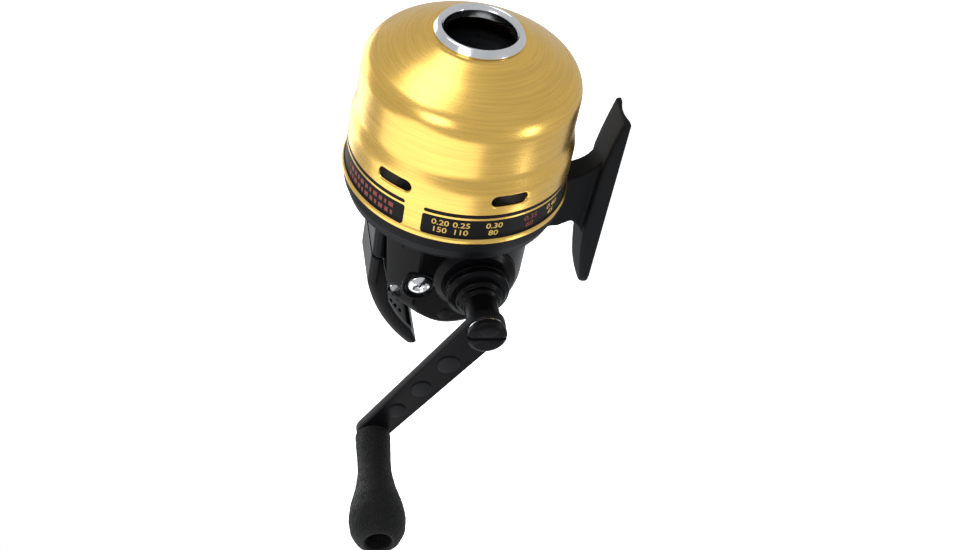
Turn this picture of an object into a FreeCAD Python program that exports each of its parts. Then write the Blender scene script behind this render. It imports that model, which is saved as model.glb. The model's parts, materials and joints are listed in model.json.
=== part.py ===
import FreeCAD
import Part
import math
import os
import Sketcher
from FreeCAD import Placement, Rotation, Vector

# A closed-face (spincast) fishing reel.
# +X points forward along the spool axis to the line exit, +Y to the left, +Z away from the rod.
# The origin is on the foot's underside, below the rear of the front cover. The crank is on the -Y side.
# On the spool axis, distances are counted forward from the rim of the front cover.

doc = FreeCAD.newDocument("SpincastReel")

SIZES = [
    # place of the two main axes
    ("axis_height", 44.0, "foot underside to spool axis"),
    ("rim_forward", 7.6, "origin to the rim of the front cover"),
    ("crank_back", 20.4, "rim of the front cover back to the crank axis"),
    ("crank_drop", 5.2, "spool axis down to the crank axis"),
    # front cover
    ("cover_rim_radius", 31.0, "outer radius of the cover's rolled rim"),
    ("cover_skirt_radius", 30.2, "outer radius of the cover's lower wall"),
    ("cover_wall_radius", 29.0, "outer radius of the cover's upper wall"),
    ("cover_skin", 0.9, "thickness of the cover's spun metal"),
    ("cover_step", 15.6, "rim to the start of the step in the wall"),
    ("cover_step_run", 4.6, "length of the step"),
    ("cover_wall_end", 32.4, "rim to the end of the straight upper wall"),
    ("cover_length", 44.0, "rim to the flat nose"),
    ("nose_radius", 13.0, "outer radius of the flat nose"),
    ("dome_radius", 25.4, "radius at which the conical dome starts"),
    ("slot_forward", 13.5, "rim to the middle of the drain slots"),
    ("slot_length", 10.4, "length of a drain slot round the wall"),
    ("slot_height", 3.4, "height of a drain slot"),
    ("slot_count", 6, "number of drain slots"),
    # line guide ring
    ("guide_bore", 9.25, "radius of the line hole"),
    ("guide_neck", 10.6, "outer radius of the guide's neck in the cover"),
    ("guide_flange", 11.9, "outer radius of the guide's flange"),
    ("guide_crest", 2.2, "height of the guide above the nose"),
    # body
    ("collar_radius", 30.2, "outer radius of the body ring at the cover"),
    ("collar_rear_radius", 28.8, "outer radius of the body ring at its rear lip"),
    ("collar_length", 7.7, "length of the body ring"),
    ("housing_radius", 23.6, "outer radius of the gear housing"),
    ("housing_wall", 2.0, "wall of the gear housing"),
    ("housing_length", 43.4, "rim to the rearmost point of the gear housing"),
    ("side_face", 21.2, "spool axis out to the flat crank side of the gear housing"),
    ("thread_length", 5.0, "length of the sleeve that the cover screws on"),
    ("deck_thickness", 2.4, "thickness of the deck plate"),
    ("deck_radius", 26.4, "radius of the deck plate"),
    # foot
    ("foot_length", 61.0, "length of the reel foot"),
    ("foot_front", 29.0, "origin to the foot's front tip"),
    ("foot_width", 12.6, "width of the reel foot"),
    ("foot_tip", 1.7, "thickness of the foot at its ends"),
    ("foot_middle", 5.2, "thickness of the foot at the stem"),
    ("saddle_radius", 12.0, "radius of the hollow under the foot"),
    ("saddle_depth", 0.8, "depth of the hollow under the foot"),
    ("stem_thickness", 7.6, "thickness of the stem across the reel"),
    # shafts and gears
    ("shaft_radius", 1.8, "radius of the centre shaft"),
    ("crankshaft_radius", 2.6, "radius of the crankshaft"),
    ("running_gap", 0.05, "radial clearance of every running fit"),
    ("press_gap", 0.01, "radial gap of parts that are fixed on a shaft"),
    ("part_gap", 0.3, "clearance between neighbours that pass each other"),
    ("pinion_teeth", 10, "teeth of the pinion"),
    ("pinion_pitch_radius", 2.7, "pitch radius of the pinion"),
    ("gear_teeth", 41, "teeth of the drive gear"),
    ("gear_radius", 12.9, "outer radius of the drive gear"),
    ("tooth_height", 0.8, "depth of the gear teeth"),
    # spool and spinner head
    ("arbor_radius", 9.0, "radius of the spool's arbor"),
    ("spool_radius", 20.0, "radius of the spool's flanges"),
    ("spool_front", 18.0, "rim to the front of the spool"),
    ("spool_rear", 6.0, "rim to the rear of the spool"),
    ("line_radius", 17.6, "outer radius of the wound line"),
    ("spinner_radius", 22.4, "outer radius of the spinner head's skirt"),
    ("spinner_front", 36.4, "rim to the spinner head's front face"),
    ("spinner_rear", 15.0, "rim to the spinner head's rear edge"),
    # crank, measured out from the spool axis
    ("dial_radius", 8.6, "radius of the drag dial"),
    ("dial_face", 29.0, "spool axis out to the drag dial's face"),
    ("arm_face", 42.3, "spool axis out to the outer face of the arm"),
    ("arm_thickness", 3.0, "thickness of the arm"),
    ("arm_length", 48.1, "crank axis to grip axis"),
    ("arm_root_radius", 5.5, "half width of the arm at the crank"),
    ("arm_tip_radius", 4.4, "half width of the arm at the grip"),
    ("screw_head_radius", 5.4, "radius of the handle screw's head"),
    ("grip_length", 36.6, "length of the grip"),
    ("grip_base_radius", 4.85, "radius of the grip at the arm"),
    ("grip_waist_radius", 4.6, "radius of the grip's waist"),
    ("grip_bulb_radius", 7.65, "largest radius of the grip"),
    ("grip_hole_radius", 3.4, "radius of the hole in the grip's end"),
    # thumb button
    ("button_width", 21.0, "width of the thumb button"),
    ("button_skin", 2.2, "thickness of the thumb button"),
    ("pivot_back", 29.0, "rim back to the thumb button's pivot"),
    ("pivot_rise", 15.0, "spool axis up to the thumb button's pivot"),
]

SLOT_TURN = 14           # degrees that the ring of drain slots is turned towards the crank side
ARM_ANGLE = 147.5        # degrees from forward, turning up
GRIP_TILT = 3.2          # degrees that the grip leans up
PICKUP_FORWARD = 22.2    # rim to the pickup pin
YOKE_SIDE = 9.4          # oscillation rod, left of the spool axis
YOKE_RISE = -12.8        # oscillation rod, above the spool axis
PAWL_PLACE = (-10.6, 8.9)    # from the crank axis: forward, up
CAM_ANGLE = -48          # degrees from forward, crank axis to cam wheel
CAM_MODULE = 0.6
CAM_TEETH = (14, 20)
BUTTON_ROUND = 2.4       # radius of the thumb button's and the top cover's long edges
DECK_SCREW_TURNS = (40, 130, 230, 320)
DECK_SCREW_RADIUS = 0.8
SHAFT_END = 34.5         # rim back to the rear end of the centre shaft
SIDE_SCREW_PLACE = (-24.4, 9.4)
FOOT_SCREW_PLACES = (10.5, 15.5)

sheet = doc.addObject("Spreadsheet::Sheet", "Size")
for row, (alias, value, note) in enumerate(SIZES, start=1):
    sheet.set(f"A{row}", str(value))
    sheet.setAlias(f"A{row}", alias)
    sheet.set(f"B{row}", note)
doc.recompute()


class Size:
    """A length that carries its number and the sheet formula that it comes from."""

    def __init__(self, value, text):
        self.value = value
        self.text = text

    def __float__(self):
        return float(self.value)

    def __add__(self, other):
        other = size(other)
        return Size(self.value + other.value, f"({self.text} + {other.text})")

    def __sub__(self, other):
        other = size(other)
        return Size(self.value - other.value, f"({self.text} - {other.text})")

    def __mul__(self, other):
        other = size(other)
        return Size(self.value * other.value, f"({self.text} * {other.text})")

    def __truediv__(self, other):
        other = size(other)
        return Size(self.value / other.value, f"({self.text} / {other.text})")

    def __radd__(self, other):
        return size(other) + self

    def __rsub__(self, other):
        return size(other) - self

    def __rmul__(self, other):
        return size(other) * self

    def __neg__(self):
        return Size(-self.value, f"(0 - {self.text})")


def size(value):
    """Any number as a Size."""
    if isinstance(value, Size):
        return value
    return Size(float(value), f"({float(value):.6f})")


class Sheet:
    """Sheet cells by name, as Sizes."""

    def __getattr__(self, alias):
        return Size(float(sheet.get(alias)), f"Size.{alias}")


S = Sheet()

TURNS = {
    "up": Rotation(),
    "forward": Rotation(Vector(0, 1, 0), 90),
    "cover": Rotation(Vector(1, 0, 0), -SLOT_TURN).multiply(Rotation(Vector(0, 1, 0), 90)),
    "outward": Rotation(Vector(1, 0, 0), 90),
    "grip": Rotation(Vector(1, 0, 0), 90 - GRIP_TILT),
}

nodes = []


class Piece:
    """A PartDesign body with its own origin and direction: its local Z points along."""

    def __init__(self, label, at, along="up", is_node=True):
        self.body = doc.addObject("PartDesign::Body", label)
        self.body.Label = label
        at = [size(value) for value in at]
        self.body.Placement = Placement(Vector(*[value.value for value in at]), TURNS[along])
        for axis, value in zip("xyz", at):
            self.body.setExpression(f"Placement.Base.{axis}", value.text)
        self.last = None
        if is_node:
            nodes.append(self.body)

    def sketch(self, plane, lift):
        """A new sketch on one of the body's own planes, lifted along the plane's normal."""
        sketch = self.body.newObject("Sketcher::SketchObject", self.body.Name + "Sketch")
        support = [item for item in self.body.Origin.OriginFeatures if item.Role == plane + "_Plane"]
        sketch.AttachmentSupport = [(support[0], "")]
        sketch.MapMode = "FlatFace"
        lift = size(lift)
        sketch.AttachmentOffset = Placement(Vector(0, 0, lift.value), Rotation())
        sketch.setExpression("AttachmentOffset.Base.z", lift.text)
        return sketch

    def outline(self, plane, points, lift=0):
        """A closed outline. A point is (u, v), or (u, v, r) where an arc of radius r follows:
        r is positive when the arc's centre lies to the left of the way from this point."""
        sketch = self.sketch(plane, lift)
        corners = [(size(point[0]), size(point[1])) for point in points]
        edges = []
        for index, point in enumerate(points):
            start = Vector(corners[index][0].value, corners[index][1].value, 0)
            after = corners[(index + 1) % len(points)]
            end = Vector(after[0].value, after[1].value, 0)
            if len(point) == 2:
                sketch.addGeometry(Part.LineSegment(start, end), False)
                edges.append((1, 2))
                continue
            radius = size(point[2])
            sketch.addGeometry(arc_between(start, end, radius.value), False)
            edges.append((1, 2) if radius.value > 0 else (2, 1))
            length = Size(abs(radius.value), radius.text if radius.value > 0 else (-radius).text)
            bind_constraint(sketch, ("Radius", index), length)
        for index, (u, v) in enumerate(corners):
            after = (index + 1) % len(points)
            bind_constraint(sketch, ("DistanceX", -1, 1, index, edges[index][0]), u)
            bind_constraint(sketch, ("DistanceY", -1, 1, index, edges[index][0]), v)
            joint = Sketcher.Constraint("Coincident", index, edges[index][1], after, edges[after][0])
            sketch.addConstraint(joint)
        return sketch

    def circle(self, plane, centre, radius, lift=0):
        """A round outline."""
        sketch = self.sketch(plane, lift)
        centre = [size(value) for value in centre]
        middle = Vector(centre[0].value, centre[1].value, 0)
        sketch.addGeometry(Part.Circle(middle, Vector(0, 0, 1), float(radius)), False)
        bind_constraint(sketch, ("Radius", 0), size(radius))
        bind_constraint(sketch, ("DistanceX", -1, 1, 0, 3), centre[0])
        bind_constraint(sketch, ("DistanceY", -1, 1, 0, 3), centre[1])
        return sketch

    def feature(self, kind, profile):
        """A new sketch-based feature of the body."""
        item = self.body.newObject("PartDesign::" + kind, self.body.Name + kind)
        item.Profile = (profile, [""])
        self.last = item
        return item

    def pad(self, profile, length):
        item = self.feature("Pad", profile)
        bind(item, "Length", length)
        return self

    def pocket(self, profile, length):
        """Cuts along the sketch's normal, the way that a pad grows."""
        before = self.volume()
        item = self.feature("Pocket", profile)
        item.Reversed = True
        bind(item, "Length", length)
        self.check_cut(before)
        return self

    def revolve(self, points):
        """Turned solid: points are (radius, height along the body's Z)."""
        item = self.feature("Revolution", self.outline("XZ", points))
        item.ReferenceAxis = (item.Profile[0], ["V_Axis"])
        item.Angle = 360
        return self

    def groove(self, points):
        before = self.volume()
        item = self.feature("Groove", self.outline("XZ", points))
        item.ReferenceAxis = (item.Profile[0], ["V_Axis"])
        item.Angle = 360
        self.check_cut(before)
        return self

    def around(self, count):
        """Repeats the last feature evenly about the body's Z."""
        item = self.body.newObject("PartDesign::PolarPattern", self.body.Name + "Pattern")
        item.Originals = [self.last]
        axis = [part for part in self.body.Origin.OriginFeatures if part.Role == "Z_Axis"]
        item.Axis = (axis[0], [""])
        item.Angle = 360
        item.Occurrences = int(float(count))
        if isinstance(count, Size):
            item.setExpression("Occurrences", count.text)
        self.body.Tip = item
        return self

    def mirror(self, plane):
        """Repeats the last feature on the other side of one of the body's planes."""
        item = self.body.newObject("PartDesign::Mirrored", self.body.Name + "Mirror")
        item.Originals = [self.last]
        support = [part for part in self.body.Origin.OriginFeatures if part.Role == plane + "_Plane"]
        item.MirrorPlane = (support[0], [""])
        self.body.Tip = item
        return self

    def fillet(self, radius, pick):
        """Rounds the edges of the tip that pick chooses."""
        doc.recompute()
        base = self.body.Tip
        names = [f"Edge{n}" for n, edge in enumerate(base.Shape.Edges, start=1) if pick(edge)]
        item = self.body.newObject("PartDesign::Fillet", self.body.Name + "Fillet")
        item.Base = (base, names)
        bind(item, "Radius", radius)
        self.body.Tip = item
        return self

    def volume(self):
        doc.recompute()
        return self.body.Shape.Volume

    def check_cut(self, before):
        if self.volume() >= before - 1e-6:
            raise ValueError(f"{self.body.Label}: a cut removed nothing")


def arc_between(start, end, radius):
    """The shorter arc of a radius between two points; its centre is left of the way if positive."""
    chord = end - start
    half = chord.Length / 2
    side = Vector(-chord.y, chord.x, 0).normalize()
    height = math.sqrt(max(radius * radius - half * half, 0))
    centre = start + chord * 0.5 + side * math.copysign(height, radius)
    first, second = (start, end) if radius > 0 else (end, start)
    angles = [math.atan2(point.y - centre.y, point.x - centre.x) for point in (first, second)]
    if angles[1] < angles[0]:
        angles[1] += 2 * math.pi
    return Part.ArcOfCircle(Part.Circle(centre, Vector(0, 0, 1), abs(radius)), *angles)


def bind(item, name, value):
    """Sets a property and ties it to the sheet."""
    value = size(value)
    setattr(item, name, value.value)
    item.setExpression(name, value.text)


def bind_constraint(sketch, words, value):
    """Adds a dimension to a sketch and ties it to the sheet."""
    index = sketch.addConstraint(Sketcher.Constraint(*words, value.value))
    sketch.setExpression(f"Constraints[{index}]", value.text)


def box_points(u0, u1, v0, v1):
    """The corners of a rectangle."""
    return [(u0, v0), (u1, v0), (u1, v1), (u0, v1)]


def ring_points(inner, outer, low, high):
    """The section of a plain ring."""
    return box_points(inner, outer, low, high)


def on_circle(radius, turn):
    """A point on a circle about the origin."""
    return radius * math.cos(math.radians(turn)), radius * math.sin(math.radians(turn))


def spool_axis(label, is_node=True):
    """A piece on the spool axis, counted forward from the cover's rim."""
    return Piece(label, (S.rim_forward, 0, S.axis_height), "forward", is_node)


def crank_axis(label, is_node=True):
    """A piece on the crank axis, counted out from the spool axis."""
    return Piece(label, (S.rim_forward - S.crank_back, 0, S.axis_height - S.crank_drop), "outward", is_node)


def spool_frame(label, is_node=True):
    """A piece with the reel's own directions and its origin on the spool axis at the rim."""
    return Piece(label, (S.rim_forward, 0, S.axis_height), "up", is_node)


def boolean(kind, label, first, second):
    """A Part boolean of two objects."""
    item = doc.addObject("Part::" + kind, label)
    item.Base = first
    item.Tool = second
    item.Label = label
    return item


# ---------------------------------------------------------------- front cover

def front_cover():
    skin = S.cover_skin
    slope = 1.9 * skin
    cover = Piece("front_cover", (S.rim_forward, 0, S.axis_height), "cover")
    cover.revolve([
        (S.cover_rim_radius - skin, 0),
        (S.cover_rim_radius, 0),
        (S.cover_rim_radius, 1.2),
        (S.cover_skirt_radius, 2.2),
        (S.cover_skirt_radius, S.cover_step),
        (S.cover_wall_radius, S.cover_step + S.cover_step_run),
        (S.cover_wall_radius, S.cover_wall_end, 6.5),
        (S.dome_radius, S.cover_wall_end + 4.75),
        (S.nose_radius, S.cover_length),
        (S.guide_neck + S.press_gap, S.cover_length),
        (S.guide_neck + S.press_gap, S.cover_length - skin),
        (S.nose_radius - 0.55 * skin, S.cover_length - skin),
        (S.dome_radius - 0.55 * slope, S.cover_wall_end + 4.1),
        (S.cover_wall_radius - skin, S.cover_wall_end),
        (S.cover_wall_radius - skin, S.cover_step + S.cover_step_run),
        (S.cover_skirt_radius - skin, S.cover_step),
        (S.cover_skirt_radius - skin, 2.2),
        (S.cover_rim_radius - skin, 1.2),
    ])
    # a pill-shaped slot through the wall on the local X side: u runs round the wall, v along it
    half = (S.slot_length - S.slot_height) / 2
    end = S.slot_height / 2
    slot = cover.outline("YZ", [
        (-half, S.slot_forward - end),
        (half, S.slot_forward - end, end * 1.0001),
        (half, S.slot_forward + end),
        (-half, S.slot_forward + end, end * 1.0001),
    ], S.cover_skirt_radius - 4)
    cover.pocket(slot, 6)
    cover.around(S.slot_count)


def line_guide_ring():
    top = S.cover_length
    ring = spool_axis("line_guide_ring")
    ring.revolve([
        (S.guide_bore, top + 0.8),
        (S.guide_bore, top - S.cover_skin - 0.7),
        (S.guide_neck, top - S.cover_skin - 0.7),
        (S.guide_neck, top),
        (S.guide_flange, top),
        (S.guide_flange, top + 0.5, 1.9),
        (S.guide_neck + 0.1, top + S.guide_crest, 1.6),
    ])


def cover_seal():
    ring_gap = S.cover_rim_radius - S.cover_skin
    seal = spool_axis("cover_seal")
    seal.revolve(ring_points(ring_gap - 1.3, ring_gap - 0.1, 0.02, 0.9))


# ---------------------------------------------------------------- body

def body_ring():
    sleeve = S.cover_skirt_radius - S.cover_skin - S.part_gap
    ring = spool_axis("body_ring")
    ring.revolve([
        (S.housing_radius - S.housing_wall, -S.collar_length),
        (S.collar_rear_radius - 0.8, -S.collar_length),
        (S.collar_rear_radius, -S.collar_length + 0.8),
        (S.collar_radius - 0.35, -3.6),
        (S.collar_radius, -3.3),
        (S.collar_radius, -0.02),
        (sleeve - 0.9, -0.02),
        (sleeve - 0.9, 1.2),
        (sleeve, 1.6),
        (sleeve, S.thread_length),
        (sleeve - 1.4, S.thread_length),
        (sleeve - 1.8, 0.4),
        (S.deck_radius + 0.02, 0.4),
        (S.deck_radius + 0.02, -S.collar_length + 0.58),
        (S.housing_radius - S.housing_wall, -S.collar_length + 0.58),
    ])
    for turn in DECK_SCREW_TURNS:
        place = on_circle(S.housing_radius - S.housing_wall / 2, turn)
        ring.pocket(ring.circle("XY", place, DECK_SCREW_RADIUS, -S.collar_length - 1), 3)


def deck_plate():
    rear = -S.collar_length + 0.6
    deck = spool_axis("deck_plate")
    deck.revolve([
        (5.05, rear),
        (S.deck_radius, rear),
        (S.deck_radius, rear + S.deck_thickness),
        (7.6, rear + S.deck_thickness),
        (7.6, S.spool_rear - 1.6),
        (6.0, S.spool_rear - 1.6),
        (6.0, S.spool_front - 1.4),
        (3.4, S.spool_front - 1.4),
        (3.4, 1.2),
        (5.05, 1.2),
    ])
    deck.pocket(deck.circle("XY", (-YOKE_RISE, YOKE_SIDE), 2.2, -S.collar_length - 1), 6)
    for turn in DECK_SCREW_TURNS:
        place = on_circle(S.housing_radius - S.housing_wall / 2, turn)
        deck.pocket(deck.circle("XY", place, DECK_SCREW_RADIUS, -S.collar_length - 1), 6)


def housing_prism(label, grow):
    """The side outline of the gear housing as a block, cut flat on the crank side;
    grow is negative for the space inside it."""
    block = spool_frame(label, is_node=False)
    back = -S.housing_length
    outline = block.outline("XZ", [
        (-S.collar_length + 3, -30),
        (-36.5, -30),
        (-36.5 - grow, -S.housing_radius - 0.4, -13),
        (back - grow, -12.5, -18),
        (back + 2.3 - grow, -1),
        (-34.4 - grow * 0.9, 10.2, 9),
        (-32.2, 15.2 + grow * 0.9),
        (-27, 17.6 + grow),
        (-13, 18.8 + grow),
        (-11.2, 21.4 + grow),
        (-S.collar_length + 3, 21.4 + grow),
    ], -40)
    block.pad(outline, S.side_face + 40 + grow)
    return block.body


def housing_core(label, radius, back, front):
    """The round part of the gear housing, with a rounded rear edge."""
    core = spool_axis(label, is_node=False)
    core.revolve([(0, -back), (radius - 12, -back, 15), (radius, -back + 13.5), (radius, -front), (0, -front)])
    return core.body


def gear_housing():
    inner_radius = S.housing_radius - S.housing_wall
    # the round and the side outline reach past each other at the rear and the front
    past = 1
    back = S.housing_length
    front = S.collar_length
    solid_round = housing_core("housing_round", S.housing_radius, back + past, front + 0.02)
    hollow_round = housing_core("housing_hollow", inner_radius, back - past, front - past)
    solid_side = housing_prism("housing_side", size(0))
    hollow_side = housing_prism("housing_hollow_side", -S.housing_wall)
    outer = boolean("Common", "housing_outside", solid_round, solid_side)
    inner = boolean("Common", "housing_inside", hollow_round, hollow_side)
    shell = boolean("Cut", "housing_shell", outer, inner)
    holes = spool_frame("housing_holes", is_node=False)
    # crank opening in the right wall
    holes.pad(holes.circle("XZ", (-S.crank_back, -S.crank_drop), 8.6, 10), 20)
    # thumb button's finger opening in the top
    holes.pad(holes.outline("XY", box_points(-S.pivot_back - 6.5, -S.pivot_back + 4, -3.2, 3.2), 10), 14)
    # bore of the thumb button's pivot pin
    holes.pad(holes.circle("XZ", (-S.pivot_back, S.pivot_rise), 1.5, -20), 40)
    for low in (-30, S.side_face - 0.8):
        # side screws in their round recesses
        holes.pad(holes.circle("XZ", SIDE_SCREW_PLACE, 4.0, low), 9.6)
    holes.pad(holes.circle("XZ", SIDE_SCREW_PLACE, 1.55, -28), 56)
    # seat of the left bearing
    holes.pad(holes.circle("XZ", (-S.crank_back, -S.crank_drop), 4.2, -20.2), 5)
    for back in FOOT_SCREW_PLACES:
        holes.pad(holes.circle("XY", (-back, 0), 1.05, -26), 8)
    for turn in DECK_SCREW_TURNS:
        place = on_circle(S.housing_radius - S.housing_wall / 2, turn)
        holes.pad(holes.circle("YZ", (place[1], -place[0]), DECK_SCREW_RADIUS, -S.collar_length - 5), 8)
    opened = boolean("Cut", "housing_opened", shell, holes.body)
    posts = spool_frame("housing_posts", is_node=False)
    # left bearing post for the crankshaft
    posts.pad(posts.circle("XZ", (-S.crank_back, -S.crank_drop), 6.2, -22), 5.5)
    posts.pocket(posts.circle("XZ", (-S.crank_back, -S.crank_drop), 4.2, -20.2), 5)
    housing = doc.addObject("Part::Fuse", "gear_housing")
    housing.Base = opened
    housing.Tool = posts.body
    housing.Label = "gear_housing"
    nodes.append(housing)


def crank_bearing_plate():
    plate = crank_axis("crank_bearing_plate")
    plate.revolve([
        (6.0, 17.6),
        (8.5, 17.6),
        (8.5, 21.2),
        (11.6, 21.2, -3.2),
        (9.4, 23.8),
        (6.0, 23.8),
    ])


def crank_bearing():
    bearing = crank_axis("crank_bearing")
    bearing.revolve(ring_points(S.crankshaft_radius + 1.6, 5.98, 17.8, 23.7))


def left_bearing():
    bearing = crank_axis("left_bearing")
    bearing.revolve(ring_points(S.crankshaft_radius + S.running_gap, 4.18, -20.1, -16.6))


def reel_foot():
    foot = Piece("reel_foot", (0, 0, 0))
    front = S.foot_front
    rear = S.foot_length - S.foot_front
    side = foot.outline("XZ", [
        (-rear, 0),
        (front, 0),
        (front, S.foot_tip, 150),
        (13.5, S.foot_middle - 0.7),
        (-8.5, S.foot_middle, 120),
        (-rear, S.foot_tip),
    ], -S.foot_width / 2)
    foot.pad(side, S.foot_width)
    foot.fillet(5.4, lambda edge: edge.BoundBox.XMax < -27 and edge.BoundBox.ZLength > 0.2
                and edge.BoundBox.YLength < 0.1)
    foot.fillet(1.2, lambda edge: edge.BoundBox.ZMin > 0.8 and edge.BoundBox.XLength > 6)
    # the stem leans back from the foot to the body
    stem = foot.outline("XZ", [
        (17.5, S.foot_middle - 1.2, -9),
        (9.4, S.foot_middle + 3.2),
        (5.6, 16.5),
        (5.6, S.axis_height - 19),
        (-13.5, S.axis_height - 19),
        (-13.5, 19.5, -8),
        (-9.6, 12.5),
        (-7.6, S.foot_middle + 3.8, -9),
        (-15.5, S.foot_middle - 1.0),
    ], -S.stem_thickness / 2)
    foot.pad(stem, S.stem_thickness)
    trough = foot.circle("YZ", (0, S.saddle_depth - S.saddle_radius), S.saddle_radius, -rear - 1)
    foot.pocket(trough, S.foot_length + 2)
    for back in FOOT_SCREW_PLACES:
        hole = foot.circle("XY", (S.rim_forward - back, 0), 1.05, 12)
        foot.pocket(hole, 14)
    cutter = spool_axis("foot_cutter", is_node=False)
    cutter.revolve([
        (0, -60),
        (S.housing_radius + 0.02, -60),
        (S.housing_radius + 0.02, -S.collar_length - 0.02),
        (S.collar_rear_radius + 0.02, -S.collar_length - 0.02),
        (S.collar_radius + 0.02, -3.3),
        (S.collar_radius + 0.02, 6),
        (0, 6),
    ])
    nodes.remove(foot.body)
    foot.body.Label = "foot_blank"
    finished = boolean("Cut", "foot_finished", foot.body, cutter.body)
    finished.Label = "reel_foot"
    nodes.append(finished)


def foot_screws():
    screws = Piece("foot_screws", (S.rim_forward, 0, S.axis_height - S.housing_radius + S.housing_wall))
    for back in FOOT_SCREW_PLACES:
        screws.pad(screws.circle("XY", (-back, 0), 1.0, -7), 7.2)
        screws.pad(screws.circle("XY", (-back, 0), 1.9, 0.1), 1.3)
        slot = screws.outline("XY", box_points(-back - 0.25, -back + 0.25, -2.2, 2.2), 0.9)
        screws.pocket(slot, 1)


def side_screws():
    u, v = SIDE_SCREW_PLACE
    seat = S.side_face - 0.75
    screws = spool_frame("side_screws")
    screws.pad(screws.circle("XZ", (u, v), 1.5, 15), seat - 14.8)
    screws.mirror("XZ")
    screws.pad(screws.circle("XZ", (u, v), 3.2, seat), 1.6)
    screws.mirror("XZ")
    for long, short in ((2.0, 0.45), (0.45, 2.0)):
        cross = box_points(u - long, u + long, v - short, v + short)
        screws.pocket(screws.outline("XZ", cross, seat + 0.6), 2)
        screws.mirror("XZ")


def deck_screws():
    """The screws that hold the deck plate and the body ring to the gear housing."""
    screws = spool_axis("deck_screws")
    seat = -S.collar_length + 0.6 + S.deck_thickness
    for turn in DECK_SCREW_TURNS:
        place = on_circle(S.housing_radius - S.housing_wall / 2, turn)
        screws.pad(screws.circle("XY", place, DECK_SCREW_RADIUS - 0.03, -S.collar_length - 4), 7.2)
        screws.pad(screws.circle("XY", place, 1.6, seat + 0.02), 1.1)


# ---------------------------------------------------------------- spool and line

def spool():
    bobbin = spool_axis("spool")
    bobbin.revolve([
        (6.05, S.spool_rear),
        (S.spool_radius, S.spool_rear),
        (S.spool_radius, S.spool_rear + 1.2),
        (S.arbor_radius, S.spool_rear + 1.2),
        (S.arbor_radius, S.spool_front - 1.2),
        (S.spool_radius - 0.6, S.spool_front - 1.2),
        (S.spool_radius - 0.6, S.spool_front),
        (6.05, S.spool_front),
    ])


def wound_line():
    line = spool_axis("wound_line")
    line.revolve([
        (S.arbor_radius + 0.01, S.spool_rear + 1.21),
        (S.line_radius - 0.6, S.spool_rear + 1.21, 14),
        (S.line_radius - 0.6, S.spool_front - 1.21),
        (S.arbor_radius + 0.01, S.spool_front - 1.21),
    ])


def oscillation_yoke():
    yoke = spool_frame("oscillation_yoke")
    rod = yoke.circle("YZ", (YOKE_SIDE, YOKE_RISE), 1.5, -8.7)
    yoke.pad(rod, S.spool_rear + 8.68)


# ---------------------------------------------------------------- spinner head and centre shaft

def centre_shaft():
    shaft = spool_axis("centre_shaft")
    shaft.revolve([
        (0, -SHAFT_END),
        (1.3, -SHAFT_END),
        (S.shaft_radius, -SHAFT_END + 0.5),
        (S.shaft_radius, 38.0),
        (0, 38.0),
    ])


def shaft_clip():
    clip = spool_axis("shaft_clip")
    clip.revolve(ring_points(S.shaft_radius + S.press_gap, S.shaft_radius + 0.55, -33.6, -32.9))


def shaft_guide():
    """A plate under the housing's roof that carries the rear of the centre shaft."""
    guide = spool_frame("shaft_guide")
    guide.pad(guide.outline("YZ", box_points(-2.2, 2.2, -2.9, 15.6), -25.2), 1.2)
    guide.pocket(guide.circle("YZ", (0, 0), S.shaft_radius + S.running_gap, -26), 3)


def shaft_spring():
    spring = spool_axis("shaft_spring")
    profile = spring.circle("XZ", (S.shaft_radius + 0.27, -32.65), 0.2)
    coil = spring.feature("AdditiveHelix", profile)
    coil.ReferenceAxis = (profile, ["V_Axis"])
    coil.Mode = "height-turns-growth"
    coil.Height = 7.2
    coil.Turns = 7
    coil.Angle = 0
    coil.Growth = 0


def spinner_head():
    skin = 1.2
    head = spool_axis("spinner_head")
    head.revolve([
        (S.shaft_radius + S.press_gap, S.spinner_front - 4.4),
        (S.spinner_radius - skin - 2.2, S.spinner_front - 4.4, 5),
        (S.spinner_radius - skin, S.spinner_front - 8.5),
        (S.spinner_radius - skin, S.spinner_rear),
        (S.spinner_radius, S.spinner_rear),
        (S.spinner_radius, S.spinner_front - 7.5, 9),
        (14.0, S.spinner_front - 0.6),
        (13.4, S.spinner_front - 0.6),
        (13.4, S.spinner_front - 1.4),
        (10.6, S.spinner_front - 1.4),
        (10.6, S.spinner_front),
        (6.2, S.spinner_front - 1.8),
        (S.shaft_radius + S.press_gap, S.spinner_front - 1.8),
    ])
    hole = head.circle("YZ", (0, PICKUP_FORWARD), 1.15, -25)
    head.pocket(hole, 10)


def brake_ring():
    ring = spool_axis("line_brake_ring")
    ring.revolve([
        (10.62, S.spinner_front - 1.38),
        (13.38, S.spinner_front - 1.38),
        (13.38, S.spinner_front, 1.5),
        (10.62, S.spinner_front),
    ])


def spinner_nut():
    nut = spool_axis("spinner_nut")
    low = S.spinner_front - 1.78
    corners = [(3.6 * math.cos(math.radians(60 * n)), 3.6 * math.sin(math.radians(60 * n))) for n in range(6)]
    nut.pad(nut.outline("XY", corners, low), 2.4)
    nut.pocket(nut.circle("XY", (0, 0), S.shaft_radius + S.press_gap, low - 1), 5)


def pickup_pin():
    pin = spool_frame("pickup_pin")
    pin.pad(pin.circle("XY", (PICKUP_FORWARD, 0), 1.05, S.spinner_radius - 5.6), 7.6)
    pin.pad(pin.circle("XY", (PICKUP_FORWARD, 0), 1.9, S.spinner_radius - 5.6), 1.2)


# ---------------------------------------------------------------- gears

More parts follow.
